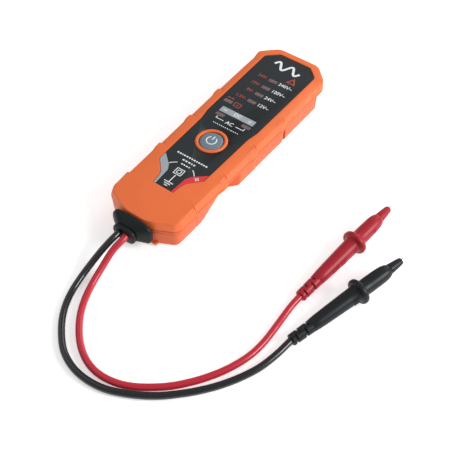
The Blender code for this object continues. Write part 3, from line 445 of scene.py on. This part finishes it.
def probe(colour):
    plastic = RED_PLASTIC if colour == "red" else BLACK_PLASTIC
    slot = f"{colour}_plastic"
    place = probe_frame(colour)
    boot = [(0.6, 0.0), (2.5, 0.0), (2.95, 0.15), (BOOT_RADIUS, 0.5), (BOOT_RADIUS, 1.2), (3.2, 7.0),
            (3.35, BOOT_LENGTH), (0.6, BOOT_LENGTH)]
    turn = place.to_3x3()
    left = turn.inverted() @ Z_AXIS.cross(turn @ Z_AXIS)
    relief = boot_relief(math.atan2(left.y, left.x))
    bm = revolve(bmesh.new(), eased(boot, 0.16), place, ROUND_STEPS, relief)
    obj = solid(f"{colour}_boot_shell", bm, plastic)
    piece(obj, "tester", slot, f"{colour}_probe_boot")

    flange_back = FLANGE_AT + 2.9
    rim = FLANGE_RADIUS
    handle = [(0.6, BOOT_LENGTH + 0.05), (3.25, BOOT_LENGTH + 0.05), (3.4, BOOT_LENGTH + 0.3), (3.75, 17.0),
              (4.05, 26.0), (4.35, 36.0), (4.45, FLANGE_AT - 1.0), (4.7, FLANGE_AT - 0.35),
              (5.3, FLANGE_AT), (rim - 0.9, FLANGE_AT), (rim - 0.35, FLANGE_AT + 0.15),
              (rim - 0.05, FLANGE_AT + 0.6), (rim, FLANGE_AT + 1.4), (rim - 0.1, flange_back - 0.6),
              (rim - 0.5, flange_back - 0.1), (rim - 1.1, flange_back), (4.9, flange_back),
              (4.5, flange_back + 0.3), (4.3, flange_back + 1.0), (4.3, 50.0), (BARREL_RADIUS, 55.0),
              (4.15, 58.5), (3.95, 60.6), (3.6, 62.2), (3.25, 63.1), (2.95, BARREL_END),
              (2.7, BARREL_END + 0.1), (1.2, BARREL_END + 0.1)]
    bm = revolve(bmesh.new(), handle, place, ROUND_STEPS)
    piece(solid(f"{colour}_handle_shell", bm, plastic, 50), "tester", slot, f"{colour}_probe_handle")
    handle_marks(colour, place, plastic, slot)

    cap = [(0.9, BARREL_END + 0.2), (2.65, BARREL_END + 0.2), (2.75, BARREL_END + 0.35),
           (2.75, BARREL_END + 0.7), (2.55, 66.5), (2.25, 69.3), (1.98, 71.2), (1.88, 71.8), (1.65, 72.2),
           (1.35, CAP_END), (0.9, CAP_END)]
    bm = revolve(bmesh.new(), cap + cap[:1], place, 64, hollow=True)
    piece(solid(f"{colour}_cap_shell", bm, plastic, 50), f"{colour}_probe_cap", slot, f"{colour}_probe_cap")

    tip = [(0.05, TIP_END), (0.22, TIP_END - 0.1), (0.45, TIP_END - 0.6), (0.68, TIP_END - 1.6),
           (TIP_RADIUS, TIP_END - 2.4), (TIP_RADIUS, PIN_START), (0.05, PIN_START)]
    bm = revolve(bmesh.new(), tip, place, 32)
    piece(solid(f"{colour}_pin", bm, STEEL), "tester", "steel", f"{colour}_probe_tip")


MARK_SIDE = Vector((0.38, -0.51, 0.77))
MARK_TURN = math.radians(48)
MARK_RISE = 0.3


def handle_marks(colour, place, plastic, slot):
    """Small raised bars and frames moulded on one side of the handle."""
    bm = bmesh.new()
    turn = place.to_3x3()
    axis = turn @ Z_AXIS
    up = (MARK_SIDE - axis * MARK_SIDE.dot(axis)).normalized()
    side = turn.inverted() @ (up * math.cos(MARK_TURN) + axis.cross(up) * math.sin(MARK_TURN))
    facing = math.atan2(side.y, side.x)

    def bar(low, high, across, width, radius=None):
        """One bar along the handle, from low to high, at a distance across its marked side."""
        rings = []
        for z in (low, high):
            base = radius or 3.75 + (z - 17.0) * 0.0316  # the handle widens evenly from 17 mm
            ring = []
            for end, rise in ((-1, -0.2), (-1, MARK_RISE), (1, MARK_RISE), (1, -0.2)):
                angle = facing + (across + end * width / 2) / base
                r = base + rise
                ring.append(place @ Vector((r * math.cos(angle), r * math.sin(angle), z)))
            rings.append(ring)
        skin(bm, rings)

    def frame_mark(low, high, width):
        for across in (-width / 2, width / 2):
            bar(low, high, across, 0.45)
        bar(low, low + 0.45, 0.0, width)
        bar(high - 0.45, high, 0.0, width)

    if colour == "red":
        for i in range(5):
            bar(21.5 + i * 1.05, 22.0 + i * 1.05, 0.0, 2.2)
        frame_mark(28.0, 31.4, 2.2)
        for low, across in ((38.0, -0.7), (39.0, 0.6), (40.0, -0.7)):
            bar(low, low + 0.55, across, 1.6)
        bar(54.9, 56.1, 0.0, 1.4, BARREL_RADIUS)
    else:
        frame_mark(36.8, 40.2, 2.4)
        bar(38.2, 38.8, 0.0, 1.0)
    piece(solid(f"{colour}_handle_marks", bm, plastic), "tester", slot)


# ---- case -----------------------------------------------------------------------------------------


def half_width(y):
    return HALF_WIDTH - SIDE_TAPER * (TOP - y) / HOUSING_LENGTH


def case_keys():
    """Corners up the right side: each point of the case's outline and its partner on the label's recess."""
    foot, head = LABEL_LOW.y, LABEL_HIGH.y
    gap = 0.3
    low, high = half_width(BOTTOM), half_width(TOP)
    return (
        ((0.0, BOTTOM), (0.0, foot - gap)),
        ((6.0, BOTTOM), (4.0, foot - gap)),
        ((12.0, BOTTOM + 1.9), (6.7 + gap, foot - gap)),
        ((low - 0.9, BOTTOM + 6.9), (6.75 + gap, foot + 0.7)),
        ((low, BOTTOM + 8.6), (6.8 + gap, foot + 1.5)),
        ((half_width(foot - 3), foot - 3), (7.1 + gap, foot + 5.1)),
        ((half_width(foot + 5), foot + 5), (8.3 + gap, foot + 8.6)),
        ((half_width(foot + 15.7), foot + 15.7), (15.0 + gap, foot + 15.7)),
        ((half_width(foot + 54.9), foot + 54.9), (15.8 + gap, foot + 54.9)),
        ((half_width(foot + 62.2), foot + 62.2), (17.1 + gap, foot + 62.2)),
        ((high - 0.1, TOP - 10.9), (17.9 + gap, head - 6.4)),
        ((high - 1.3, TOP - 8.6), (16.8 + gap, head - 5.2)),
        ((high - 9.4, TOP - 0.9), (12.0 + gap, head - 0.8)),
        ((high - 12.4, TOP), (10.7 + gap / 2, head + gap)),
        ((0.0, TOP), (0.0, head + gap)),
    )


STEP_POINTS = (-4.0, -1.2, -0.6, -0.35, -0.15, 0.0, 0.12, 0.25, 0.45, 0.65, 0.85, 1.0)
SIDE_FEATURES = tuple(y + d for y in PAD_STEPS for d in STEP_POINTS)
WAIST_START = BOTTOM + 25.5
LIP_START = BOTTOM + 62.3
NOTCH = BOTTOM + 104.6
UPPER_WAIST = 16.0
LIP_EDGES = (WAIST_START, LIP_START - 5.5, LIP_START + 1.8, NOTCH - 0.6, NOTCH, NOTCH + 2.4, NOTCH + 3.0,
             TOP - 18.2, TOP - 14.5)


def case_loop():
    """Round the case: (outline point, recess point) pairs, anticlockwise from the cable end's middle."""
    extra = [y + d for y in LIP_EDGES for d in (-0.5, -0.2, 0.0, 0.2, 0.5)] + list(SIDE_FEATURES)
    half = []
    keys = case_keys()
    for (outer, inner), (next_outer, next_inner) in zip(keys, keys[1:]):
        a, b, c, d = (Vector(v) for v in (outer, next_outer, inner, next_inner))
        count = max(2, round((b - a).length / 0.9))
        shares = {i / count for i in range(count)}
        if b.y - a.y > 6:
            shares |= {(y - a.y) / (b.y - a.y) for y in extra if a.y < y < b.y}
        half += [(a.lerp(b, t), c.lerp(d, t)) for t in sorted(shares)]
    half.append((Vector(keys[-1][0]), Vector(keys[-1][1])))
    mirrored = [(Vector((-a.x, a.y)), Vector((-b.x, b.y))) for a, b in reversed(half[1:-1])]
    return half + mirrored


def relaxed(points, rounds, free):
    """Corners rounded by averaging each free point with its neighbours."""
    for _ in range(rounds):
        count = len(points)
        points = [(points[i - 1] + 2 * p + points[(i + 1) % count]) / 4 if free(p) else p
                  for i, p in enumerate(points)]
    return points


LOOP = case_loop()
OUTLINE = relaxed([a for a, b in LOOP], 3, lambda p: p.y < BOTTOM + 11 or p.y > TOP - 13)
RECESS = relaxed([b for a, b in LOOP], 3, lambda p: p.y > LABEL_HIGH.y - 8 or p.y < LABEL_LOW.y + 4)


def outward(points):
    found = []
    for i in range(len(points)):
        along = points[(i + 1) % len(points)] - points[i - 1]
        found.append(Vector((along.y, -along.x)).normalized())
    return found


NORMALS = outward(OUTLINE)


def ramp(value, *points):
    """A broken line through (value, result) points, level beyond its ends."""
    if value <= points[0][0]:
        return points[0][1]
    for (a, low), (b, high) in zip(points, points[1:]):
        if value <= b:
            return low + (high - low) * (value - a) / (b - a)
    return points[-1][1]


def pad_rise(y):
    """How far the grip pads stand out: a low tail, a short crest, a sharp step at its top and a groove."""
    rise = 0.0
    for i, step in enumerate(PAD_STEPS):
        tail = 0.7 if i == 0 else 0.16
        rise = max(rise, ramp(y - step, (-24.0, 0.0), (-12.0, tail), (-7.0, max(0.3, tail)),
                              (-4.0, 0.92), (-0.6, 1.0), (-0.15, 0.85), (0.12, 0.0)))
    groove = max(ramp(abs(y - step - 0.45), (0.2, 0.7), (0.55, 0.0)) for step in PAD_STEPS)
    return (PAD_RISE * rise - groove) * ramp(y, (BOTTOM + 8.0, 0.0), (BOTTOM + 11.5, 1.0))


def lower_limit(y):
    """Half width that the waists and the notch leave on the rear tier."""
    wide = HALF_WIDTH + 2
    start, lip, notch, end = WAIST_START, LIP_START, NOTCH, TOP - UPPER_WAIST
    return ramp(y, (start - 0.1, wide), (start, HALF_WIDTH - 1.7), (start + 6.2, HALF_WIDTH - 2.4),
                (start + 15.0, WAIST + 2.0), (start + 24.6, WAIST), (lip - 5.5, WAIST),
                (lip + 1.7, HALF_WIDTH), (lip + 1.9, wide), (notch - 0.6, wide), (notch, WAIST),
                (notch + 2.4, WAIST), (notch + 3.0, wide), (end - 2.2, wide), (end + 1.5, WAIST),
                (TOP, WAIST))


def head_share(y):
    """The top end's front edge is hardly rounded: this is its share of the sides' inset."""
    return ramp(y, (TOP - 16.0, 1.0), (TOP - 10.0, 0.2))


def block_share(y):
    """The block at the cable end has less draft than the lips above it."""
    return ramp(y, (WAIST_START - 2.0, 1.25), (WAIST_START, 1.0))


def outer_ring(z, inset, pads=1.0, low=False, share=None):
    ring = []
    for point, normal in zip(OUTLINE, NORMALS):
        x, y = point - normal * inset * (share(point.y) if share else 1.0)
        side = 1 if x > 0 else -1
        if abs(normal.x) > 0.8:
            x += side * pads * pad_rise(point.y)
        if low:
            x = side * min(abs(x), lower_limit(point.y) - inset * 0.15)
        ring.append((x, y, z))
    return ring


def border_ring(share, edge_z, edge_inset):
    """A ring on the front border, between its outer edge at share 0 and the recess at share 1."""
    ring = []
    for point, normal, inner in zip(OUTLINE, NORMALS, RECESS):
        start = point - normal * edge_inset * head_share(point.y)
        pad = pad_rise(point.y) if abs(normal.x) > 0.8 else 0.0
        x, y = start.lerp(inner, share)
        x += (1 if x > 0 else -1) * 0.8 * pad * max(0.0, 1 - 2.5 * share)
        rise = math.sin(share * math.pi / 2) ** 0.9
        low = edge_z + 0.45 * (1.0 - head_share(point.y))
        z = low + (FACE_Z - low) * rise + 0.30 * pad * max(0.0, 1 - 2.2 * share)
        ring.append((x, y, z))
    return ring


# Height above the parting line, inset, and share of the pads' rise
EDGE_PROFILE = ((0.0, 1.8, 0.0), (0.0, 0.35, 1.0), (0.12, 0.08, 1.0), (0.35, 0.0, 1.0), (1.6, 0.34, 1.0),
                (2.8, 0.72, 1.0), (3.8, 1.08, 1.0), (4.15, 1.22, 1.0), (4.34, 1.36, 1.0),
                (4.46, 1.56, 0.95), (4.52, 1.84, 0.9))


SHELL_WALL = 2.7
CUT_GAP = 0.3
REAR_HOLLOW_HALF = 15.6


def button_hole():
    """A cutter for the hole that the button moves in, whose edge the raised ring covers."""
    middle = (BUTTON_AT.x, BUTTON_AT.y)
    width = 2 * (BUTTON_HIGH.x + 0.3)
    return solid("cutter", slab(bmesh.new(), round_box(middle, width, width, width / 2, 16), PARTING - 1.0,
                                FACE_Z + 2.0), ORANGE)


def front_shell():
    rings = [outer_ring(PARTING + rise, inset, pads, False, head_share)
             for rise, inset, pads in EDGE_PROFILE]
    edge_z, edge_inset = PARTING + 4.56, 2.1
    for share in (0.0, 0.08, 0.18, 0.3, 0.45, 0.6, 0.75, 0.88, 0.96):
        rings.append(border_ring(share, edge_z, edge_inset))
    for spread_out, drop in ((0.0, 0.06), (-0.04, 0.2), (-0.05, 1.1)):
        rings.append([(x * (1 + spread_out / 20), y, FACE_Z - drop) for x, y in RECESS])
    obj = solid("front_shell", skin(bmesh.new(), rings), ORANGE, 32)
    inside = [(p.x - n.x * SHELL_WALL, p.y - n.y * SHELL_WALL) for p, n in zip(OUTLINE, NORMALS)]
    cut(obj, solid("cutter", slab(bmesh.new(), inside, PARTING - 1.0, FACE_Z - 2.8), ORANGE))
    cut(obj, button_hole())
    obj.data.shade_smooth()
    obj.data.set_sharp_from_angle(angle=math.radians(32))
    piece(obj, "tester", "orange", "front_housing")

    inner = BUTTON_HIGH.x - 1.2 + 0.35
    z = LABEL_Z
    ring = [(inner + 0.2, z - 2.6), (inner + 0.02, z - 1.0), (inner, z + 0.1), (inner + 0.12, z + 0.4),
            (inner + 0.42, z + 0.62), (inner + 0.9, z + 0.7), (inner + 1.4, z + 0.62),
            (inner + 1.85, z + 0.36), (inner + 2.05, z + 0.05), (inner + 2.1, z - 0.6),
            (inner + 2.1, z - 2.6)]
    bm = bmesh.new()
    place = Matrix.Translation((BUTTON_AT.x, BUTTON_AT.y, 0.0))
    revolve(bm, ring + ring[:1], place, 96, hollow=True)
    piece(solid("button_ring", bm, ORANGE, 50), "tester", "orange")


# Height, inset, share of the pads' rise, and whether the waists cut in there
REAR_PROFILE = ((11.9, 2.2, 0.0, False), (11.9, 0.45, 1.0, False), (11.78, 0.16, 1.0, False),
                (11.5, 0.03, 1.0, False), (10.6, 0.05, 0.9, False), (10.2, 0.15, 0.8, False),
                (10.05, 0.3, 0.8, False), (10.0, 0.55, 0.75, True), (9.8, 0.2, 0.7, True),
                (8.2, 0.25, 0.6, True), (5.5, 0.35, 0.5, True), (3.0, 0.5, 0.4, True),
                (1.4, 0.62, 0.3, True), (0.6, 0.78, 0.2, True), (0.15, 1.05, 0.1, True),
                (0.0, 1.5, 0.0, True))


def rear_shell():
    rings = [outer_ring(*level, block_share) for level in REAR_PROFILE]
    # The rear shell takes the darker orange, which is painted shade.
    obj = solid("rear_shell", skin(bmesh.new(), rings), REAR_ORANGE_PAINTED_SHADE, 32)
    inside = []
    for point, normal in zip(OUTLINE, NORMALS):
        x, y = point - normal * SHELL_WALL
        inside.append((max(-REAR_HOLLOW_HALF, min(REAR_HOLLOW_HALF, x)), y))
    cut(obj, solid("cutter", slab(bmesh.new(), inside, 3.6, PARTING + 1.0), ORANGE))
    door_low, door_high = node_box("battery_door")
    cell_low = node_box("battery_1")[0]
    last_high = node_box("battery_2")[1]
    plate_low = node_box("bridge_contact")[0]
    contact_high = node_box("negative_contact")[1]

    def cutter(low, high):
        corners = [(low[0], low[1]), (high[0], low[1]), (high[0], high[1]), (low[0], high[1])]
        return solid("cutter", slab(bmesh.new(), corners, low[2], high[2]), ORANGE)

    cut(obj, cutter((door_low.x - CUT_GAP, BOTTOM - 5, -1.0),
                    (door_high.x + CUT_GAP, door_high.y + CUT_GAP, door_high.z + CUT_GAP)))
    cut(obj, cutter((cell_low.x - CUT_GAP, plate_low.y - CUT_GAP, 0.0),
                    (last_high.x + CUT_GAP, contact_high.y + CUT_GAP, 13.0)))
    for i in range(1, 5):
        low, high = node_box(f"case_screw_{i}")
        middle = (low + high) / 2
        hole = round_box((middle.x, middle.y), 5.6, 5.6, 2.8, 8)
        cut(obj, solid("cutter", slab(bmesh.new(), hole, -1.0, 3.1), ORANGE))
    obj.data.shade_smooth()
    obj.data.set_sharp_from_angle(angle=math.radians(32))
    piece(obj, "tester", "orange", "rear_housing")


def door_shell():
    """The battery door: its outer end leans with the case's end, and grooves under it give a grip."""
    low, high = node_box("battery_door")
    rings = []
    for z, lean in ((0.0, 1.75), (0.2, 1.4), (0.7, 1.2), (high.z, 0.9)):
        y = max(low.y, BOTTOM + lean)
        rings.append([(low.x, y, z), (high.x, y, z), (high.x, high.y, z), (low.x, high.y, z)])
    # The battery door takes the darker orange, which is painted shade.
    obj = solid("battery_door_shell", skin(bmesh.new(), rings), REAR_ORANGE_PAINTED_SHADE, 32)
    for i in range(6):
        y = BOTTOM + 8.0 + 1.6 * i
        outline = [(-6.0, y), (6.0, y), (6.0, y + 0.7), (-6.0, y + 0.7)]
        cut(obj, solid("cutter", slab(bmesh.new(), outline, -0.5, 0.45), ORANGE))
    obj.data.shade_smooth()
    obj.data.set_sharp_from_angle(angle=math.radians(32))
    piece(obj, "battery_door", "orange", "battery_door")


# ---- gland ----------------------------------------------------------------------------------------


def squircle(y, half_x, low, high, power, slant=0.0):
    """A rounded section across the gland at a given Y; slant moves its top towards the case."""
    ring = []
    middle, half_z = (low + high) / 2, (high - low) / 2
    for i in range(96):
        angle = 2 * math.pi * i / 96
        c, s = math.cos(angle), math.sin(angle)
        x = half_x * math.copysign(abs(c) ** (2 / power), c)
        z = half_z * math.copysign(abs(s) ** (2 / power), s)
        ring.append((x, y + slant * z / half_z, middle + z))
    return ring


def gland():
    case = BOTTOM - 0.1
    low = GLAND_LOW.z
    high = GLAND_HIGH.z
    end = GLAND_LOW.y
    rings = [
        squircle(case, 12.5, low + 0.4, high - 0.4, 3.4),
        squircle(case - 0.15, 12.8, low + 0.1, high - 0.12, 3.4),
        squircle(case - 0.5, 12.9, low, high, 3.4),
        squircle(case - 1.9, 12.8, low + 0.05, high - 0.08, 3.3),
        squircle(case - 2.3, 12.6, low + 0.2, high - 0.25, 3.3),
        squircle(case - 2.7, 12.1, low + 0.5, high - 0.5, 3.2),
        squircle(case - 3.4, 11.1, low + 1.0, high - 0.8, 3.1),
        squircle(case - 4.5, 9.3, low + 1.8, high - 1.35, 3.0),
        squircle(case - 5.5, 7.9, low + 2.5, high - 1.9, 2.9),
        squircle(case - 6.1, 7.0, low + 2.95, high - 2.3, 2.8),
        squircle(end + 2.6, 6.4, low + 3.3, high - 2.65, 2.7),
        squircle(end + 2.35, 6.45, low + 3.25, high - 2.6, 2.7),
        squircle(end + 2.2, 6.9, low + 2.9, high - 2.25, 2.7),
        squircle(end + 1.9, 7.15, low + 2.7, high - 2.05, 2.7),
        squircle(end + 0.7, 7.1, low + 2.75, high - 2.1, 2.7),
        squircle(end + 0.25, 6.85, low + 2.95, high - 2.3, 2.7),
        squircle(end, 6.2, low + 3.5, high - 2.9, 2.7),
    ]
    obj = solid("gland_body", skin(bmesh.new(), rings), RUBBER, 40)
    piece(obj, "tester", "rubber", "cable_gland")


# ---- panel ----------------------------------------------------------------------------------------


def panel_outline(inset):
    foot, head = LABEL_LOW.y, LABEL_HIGH.y
    right = [(6.7 - inset, foot + inset), (7.1 - inset, foot + 5.1), (8.3 - inset, foot + 8.6),
             (15.0 - inset, foot + 15.7), (15.8 - inset, foot + 54.9), (17.1 - inset, foot + 62.2),
             (17.9 - inset, head - 6.4), (10.7 - inset, head - inset)]
    return right + [(-x, y) for x, y in reversed(right)]


INK_LOW, INK_HIGH = LABEL_Z - 0.1, LABEL_Z + 0.03
DC_BAR_ABOVE = 4.57  # the bar stands this far above the two polarity windows


def ink(bm, outline, low=INK_LOW, high=INK_HIGH):
    slab(bm, outline, low, high)


def ribbon(bm, points, width, closed=False):
    """A printed line of a given width through points in plan."""
    points = [Vector(p) for p in points]
    count = len(points)
    left, right = [], []
    for i, p in enumerate(points):
        before = points[i - 1] if closed or i else p
        after = points[(i + 1) % count] if closed or i < count - 1 else p
        arrive = (p - before).normalized() if before != p else (after - p).normalized()
        leave = (after - p).normalized() if after != p else arrive
        normal = Vector((-(arrive + leave).y, (arrive + leave).x)).normalized()
        reach = width / 2 / max(0.4, normal.dot(Vector((-arrive.y, arrive.x))))
        left.append(p + normal * reach)
        right.append(p - normal * reach)
    pairs = list(zip(left, right))
    if closed:
        pairs.append(pairs[0])
    for (a, b), (c, d) in zip(pairs, pairs[1:]):
        ink(bm, [(p.x, p.y) for p in (a, c, d, b)])


def figures(bm, text, size, place, align="CENTER", bold=0.0):
    """Printed figures, with their middle line at place."""
    curve = bpy.data.curves.new("figures", "FONT")
    curve.body = text
    curve.size = size
    curve.align_x = align
    curve.align_y = "CENTER"
    curve.offset = bold
    curve.extrude = (INK_HIGH - INK_LOW) / 2
    curve.resolution_u = 4
    obj = bpy.data.objects.new("figures", curve)
    bpy.context.scene.collection.objects.link(obj)
    bpy.context.view_layer.update()
    mesh = bpy.data.meshes.new_from_object(obj.evaluated_get(bpy.context.evaluated_depsgraph_get()))
    mesh.transform(Matrix.Translation((place[0], place[1], (INK_LOW + INK_HIGH) / 2)))
    bm.from_mesh(mesh)
    bpy.data.objects.remove(obj)
    bpy.data.meshes.remove(mesh)


def lens_middle(name):
    low, high = node_box(name)
    return (low + high) / 2


def panel():
    sheet = bmesh.new()
    rings = [[(x, y, z) for x, y in panel_outline(inset)] for z, inset in
             ((LABEL_LOW.z, 0.0), (LABEL_Z - 0.08, 0.0), (LABEL_Z, 0.1))]
    obj = solid("panel_sheet", skin(sheet, rings), LABEL)
    cut(obj, button_hole())
    piece(obj, "tester", "charcoal", "label_panel")
    lenses()
    white_print()
    red_print()
    grey_print()


def lenses():
    for name in LENSES:
        middle = lens_middle(name)
        bm = bmesh.new()
        rings = []
        for rise, inset in ((-2.0, 0.0), (-0.02, 0.0), (0.05, 0.08), (0.07, 0.25)):
            outline = round_box((middle.x, middle.y), 5.7 - 2 * inset, 2.5 - 2 * inset, 0.55 - inset / 2)
            rings.append([(x, y, LABEL_Z + rise) for x, y in outline])
        skin(bm, rings)
        piece(solid(name.replace("_lens", "_window"), bm, LENS), "tester", "lens", name)


def dashes(bm, half, y, height, lengths):
    """A row of short marks that stands for a line of small print."""
    total = sum(lengths) + 0.45 * (len(lengths) - 1)
    x = -half
    for length in lengths:
        wide = length * 2 * half / total
        low, high = y - height / 2, y + height / 2
        ink(bm, [(x, low), (x + wide, low), (x + wide, high), (x, high)])
        x += wide + 0.45 * 2 * half / total


def white_print():
    bm = bmesh.new()
    head, foot = LABEL_HIGH.y, LABEL_LOW.y
    wave = [(-9.0 + 18.0 * i / 48, head - 8.6 + 3.0 * math.sin(2 * math.pi * i / 24)) for i in range(49)]
    ribbon(bm, wave, 1.5)
    for name, value in zip(LENSES[:4], ("12", "24", "120", "240")):
        figures(bm, value + "V~", 3.5, (3.5, lens_middle(name).y), "LEFT", 0.04)
    minus, plus = lens_middle("minus_lens"), lens_middle("plus_lens")
    low = minus.y - 3.4
    for side, lens in ((-1, minus), (1, plus)):
        edge = lens.x + side * 0.5
        ribbon(bm, [(edge, lens.y - 1.7), (edge, low), (side * 4.2, low)], 0.45)
    figures(bm, "AC", 3.7, (0.0, low), "CENTER", 0.05)
    dashes(bm, 8.6, minus.y - 7.3, 0.55, (0.6, 0.4, 0.6, 0.5, 0.7, 0.4, 0.6, 0.6, 0.4, 0.7, 0.5, 0.6, 0.5))
    ribbon(bm, round_box((0.0, foot + 13.8), 4.8, 4.4, 0.1, 1), 0.5, closed=True)
    ribbon(bm, round_box((0.0, foot + 13.8), 2.4, 2.2, 0.1, 1), 0.45, closed=True)
    ribbon(bm, [(0.0, foot + 10.6), (0.0, foot + 4.9)], 0.55)
    for half, y in ((3.0, 4.7), (2.0, 3.4), (1.1, 2.1)):
        ribbon(bm, [(-half, foot + y), (half, foot + y)], 0.55)
    for side in (-1, 1):
        ribbon(bm, arc((0.0, foot + 10.0), 10.4, 90 - side * 30, 90 - side * 56, 8), 0.5)
    dashes(bm, 10.2, foot + 25.4, 1.0, (0.9, 0.8, 0.5, 0.9, 0.8, 0.9, 0.7, 0.9, 0.6, 0.9, 0.8, 0.7, 0.9))
    dashes(bm, 4.2, foot + 22.3, 1.0, (0.9, 0.8, 0.9, 0.5, 0.7))
    dashes(bm, 2.9, foot + 19.4, 0.9, (0.8, 0.7, 0.9, 0.6))
    cross = (11.2, foot + 14.9)
    ribbon(bm, [(cross[0] - 1.3, cross[1]), (cross[0] + 1.3, cross[1])], 0.6)
    ribbon(bm, [(cross[0], cross[1] - 1.3), (cross[0], cross[1] + 1.3)], 0.6)
    bar_y = minus.y + DC_BAR_ABOVE
    for x in (-8.6, 8.6):
        ribbon(bm, [(x - 1.1, bar_y), (x + 1.1, bar_y)], 0.5)
    ribbon(bm, [(8.6, bar_y - 1.1), (8.6, bar_y + 1.1)], 0.5)
    figures(bm, "DC", 3.4, (0.0, bar_y), "CENTER", 0.05)
    piece(solid("white_print", bm, WHITE_INK), "tester", "charcoal")


def red_print():
    bm = bmesh.new()
    foot = LABEL_LOW.y
    wedge = [(6.62, foot + 0.1), (7.0, foot + 5.1), (8.2, foot + 8.6), (14.9, foot + 15.7),
             (15.0, foot + 21.0), (8.0, foot + 15.0), (6.0, foot + 11.5), (5.3, foot + 0.1)]
    ink(bm, wedge, INK_LOW, LABEL_Z + 0.015)
    piece(solid("red_wedge", bm, RED_INK), "tester", "charcoal")

    dim = bmesh.new()
    for name, value in zip(LENSES[:4], ("1.5", "9", "12", "24")):
        y = lens_middle(name).y
        figures(dim, value + "V-", 3.3, (-4.8, y + 0.2), "RIGHT", 0.05)
    peak = (9.0, lens_middle(LENSES[3]).y + 6.4)
    triangle = [(peak[0] - 2.4, peak[1] - 2.1), (peak[0] + 2.4, peak[1] - 2.1), (peak[0], peak[1] + 2.1)]
    ribbon(dim, triangle, 0.9, True)
    power = lens_middle("power_lens")
    ribbon(dim, round_box((power.x + 6.6, power.y), 4.2, 3.2, 0.1, 1), 0.5, closed=True)
    ribbon(dim, [(power.x + 5.9, power.y - 0.7), (power.x + 7.3, power.y + 0.7)], 0.5)
    for side in (-1, 1):
        middle = power.x + side * 1.3
        ribbon(dim, [(middle - 1.0, power.y + 3.1), (middle + 1.0, power.y + 3.1)], 0.7)
    piece(solid("dim_red_print", dim, DIM_RED_INK), "tester", "charcoal")


def grey_print():
    bm = bmesh.new()
    foot = LABEL_LOW.y
    bar_y = lens_middle("minus_lens").y + DC_BAR_ABOVE
    ink(bm, round_box((0.0, bar_y), 23.4, 4.3, 0.2, 2), INK_LOW, LABEL_Z + 0.015)
    wedge = [(-6.62, foot + 0.1), (-5.3, foot + 0.1), (-6.0, foot + 11.5), (-8.0, foot + 15.0),
             (-15.0, foot + 21.0), (-14.9, foot + 15.7), (-8.2, foot + 8.6), (-7.0, foot + 5.1)]
    ink(bm, wedge, INK_LOW, LABEL_Z + 0.015)
    piece(solid("grey_print", bm, GREY_INK), "tester", "charcoal")


def button():
    """A shallow domed button with its raised symbol."""
    radius = BUTTON_HIGH.x - 1.2
    top = BUTTON_HIGH.z
    low = BUTTON_LOW.z
    profile = [(0.02, top + 0.12), (1.5, top + 0.11), (3.0, top + 0.07), (4.5, top - 0.01),
               (5.6, top - 0.14), (6.2, top - 0.28), (6.55, top - 0.48),
               (radius - 0.08, top - 0.8), (radius, top - 1.2),
               (radius, low + 1.9), (radius + 1.2, low + 1.9), (radius + 1.2, low + 1.1), (1.5, low + 1.1),
               (1.5, low), (0.02, low)]
    place = Matrix.Translation((BUTTON_AT.x, BUTTON_AT.y, 0.0))
    obj = solid("button_cap", revolve(bmesh.new(), profile, place, 96), BUTTON_GREY, 50)
    piece(obj, "power_button", "button_grey", "power_button")

    bm = bmesh.new()
    x, y = BUTTON_AT.x, BUTTON_AT.y
    symbol = arc((x, y), 2.9, 125, 415, 40)

    def raised(points, width):
        """A rounded raised line."""
        points = [Vector((*p, top + 0.06)) for p in points]
        rings = []
        for i, p in enumerate(points):
            along = (points[min(i + 1, len(points) - 1)] - points[max(i - 1, 0)]).normalized()
            across = Vector((-along.y, along.x, 0.0))
            rings.append([p + across * (width / 2 * math.cos(a)) + Vector((0, 0, 0.14 * math.sin(a)))
                          for a in (2 * math.pi * k / 12 for k in range(12))])
        skin(bm, rings)

    raised(symbol, 0.7)
    raised([(x, y + 0.6), (x, y + 1.6), (x, y + 2.6), (x, y + 3.6)], 0.7)
    piece(solid("button_symbol", bm, WHITE_INK), "power_button", "white_plastic")


# ---- nodes that keep their CAD shape --------------------------------------------------------------


def finish_nodes():
    board = moulded("board_green", (0.02, 0.16, 0.06), 0.40, grain=0.10)
    white = moulded("white_plastic", (0.75, 0.75, 0.72), 0.50)
    brass = brushed("sprung_brass", (0.78, 0.60, 0.30), 0.28)
    can = moulded("battery_can", (0.10, 0.12, 0.14), 0.30, grain=0.02)
    by_slot = {"orange": ORANGE, "charcoal": LABEL, "button_grey": BUTTON_GREY, "rubber": RUBBER,
               "lens": LENS,
               "board": board, "white_plastic": white, "steel": STEEL, "brass": brass, "battery": can,
               "black_plastic": BLACK_PLASTIC, "red_plastic": RED_PLASTIC, "red_lead": RED_JACKET}
    for part in frame["record"]["subparts"]:
        node = frame["nodes"][part["node"]]
        for place in node.material_slots:
            place.material = by_slot[part["material_slot"]]


place_camera()
for side, route, jacket, jacket_slot in (("black", BLACK_ROUTE, BLACK_JACKET, "rubber"),
                                         ("red", RED_ROUTE, RED_JACKET, "red_lead")):
    probe(side)
    lead(f"{side}_cord", route, jacket, jacket_slot)
light_studio()
front_shell()
rear_shell()
door_shell()
gland()
panel()
button()
finish_nodes()
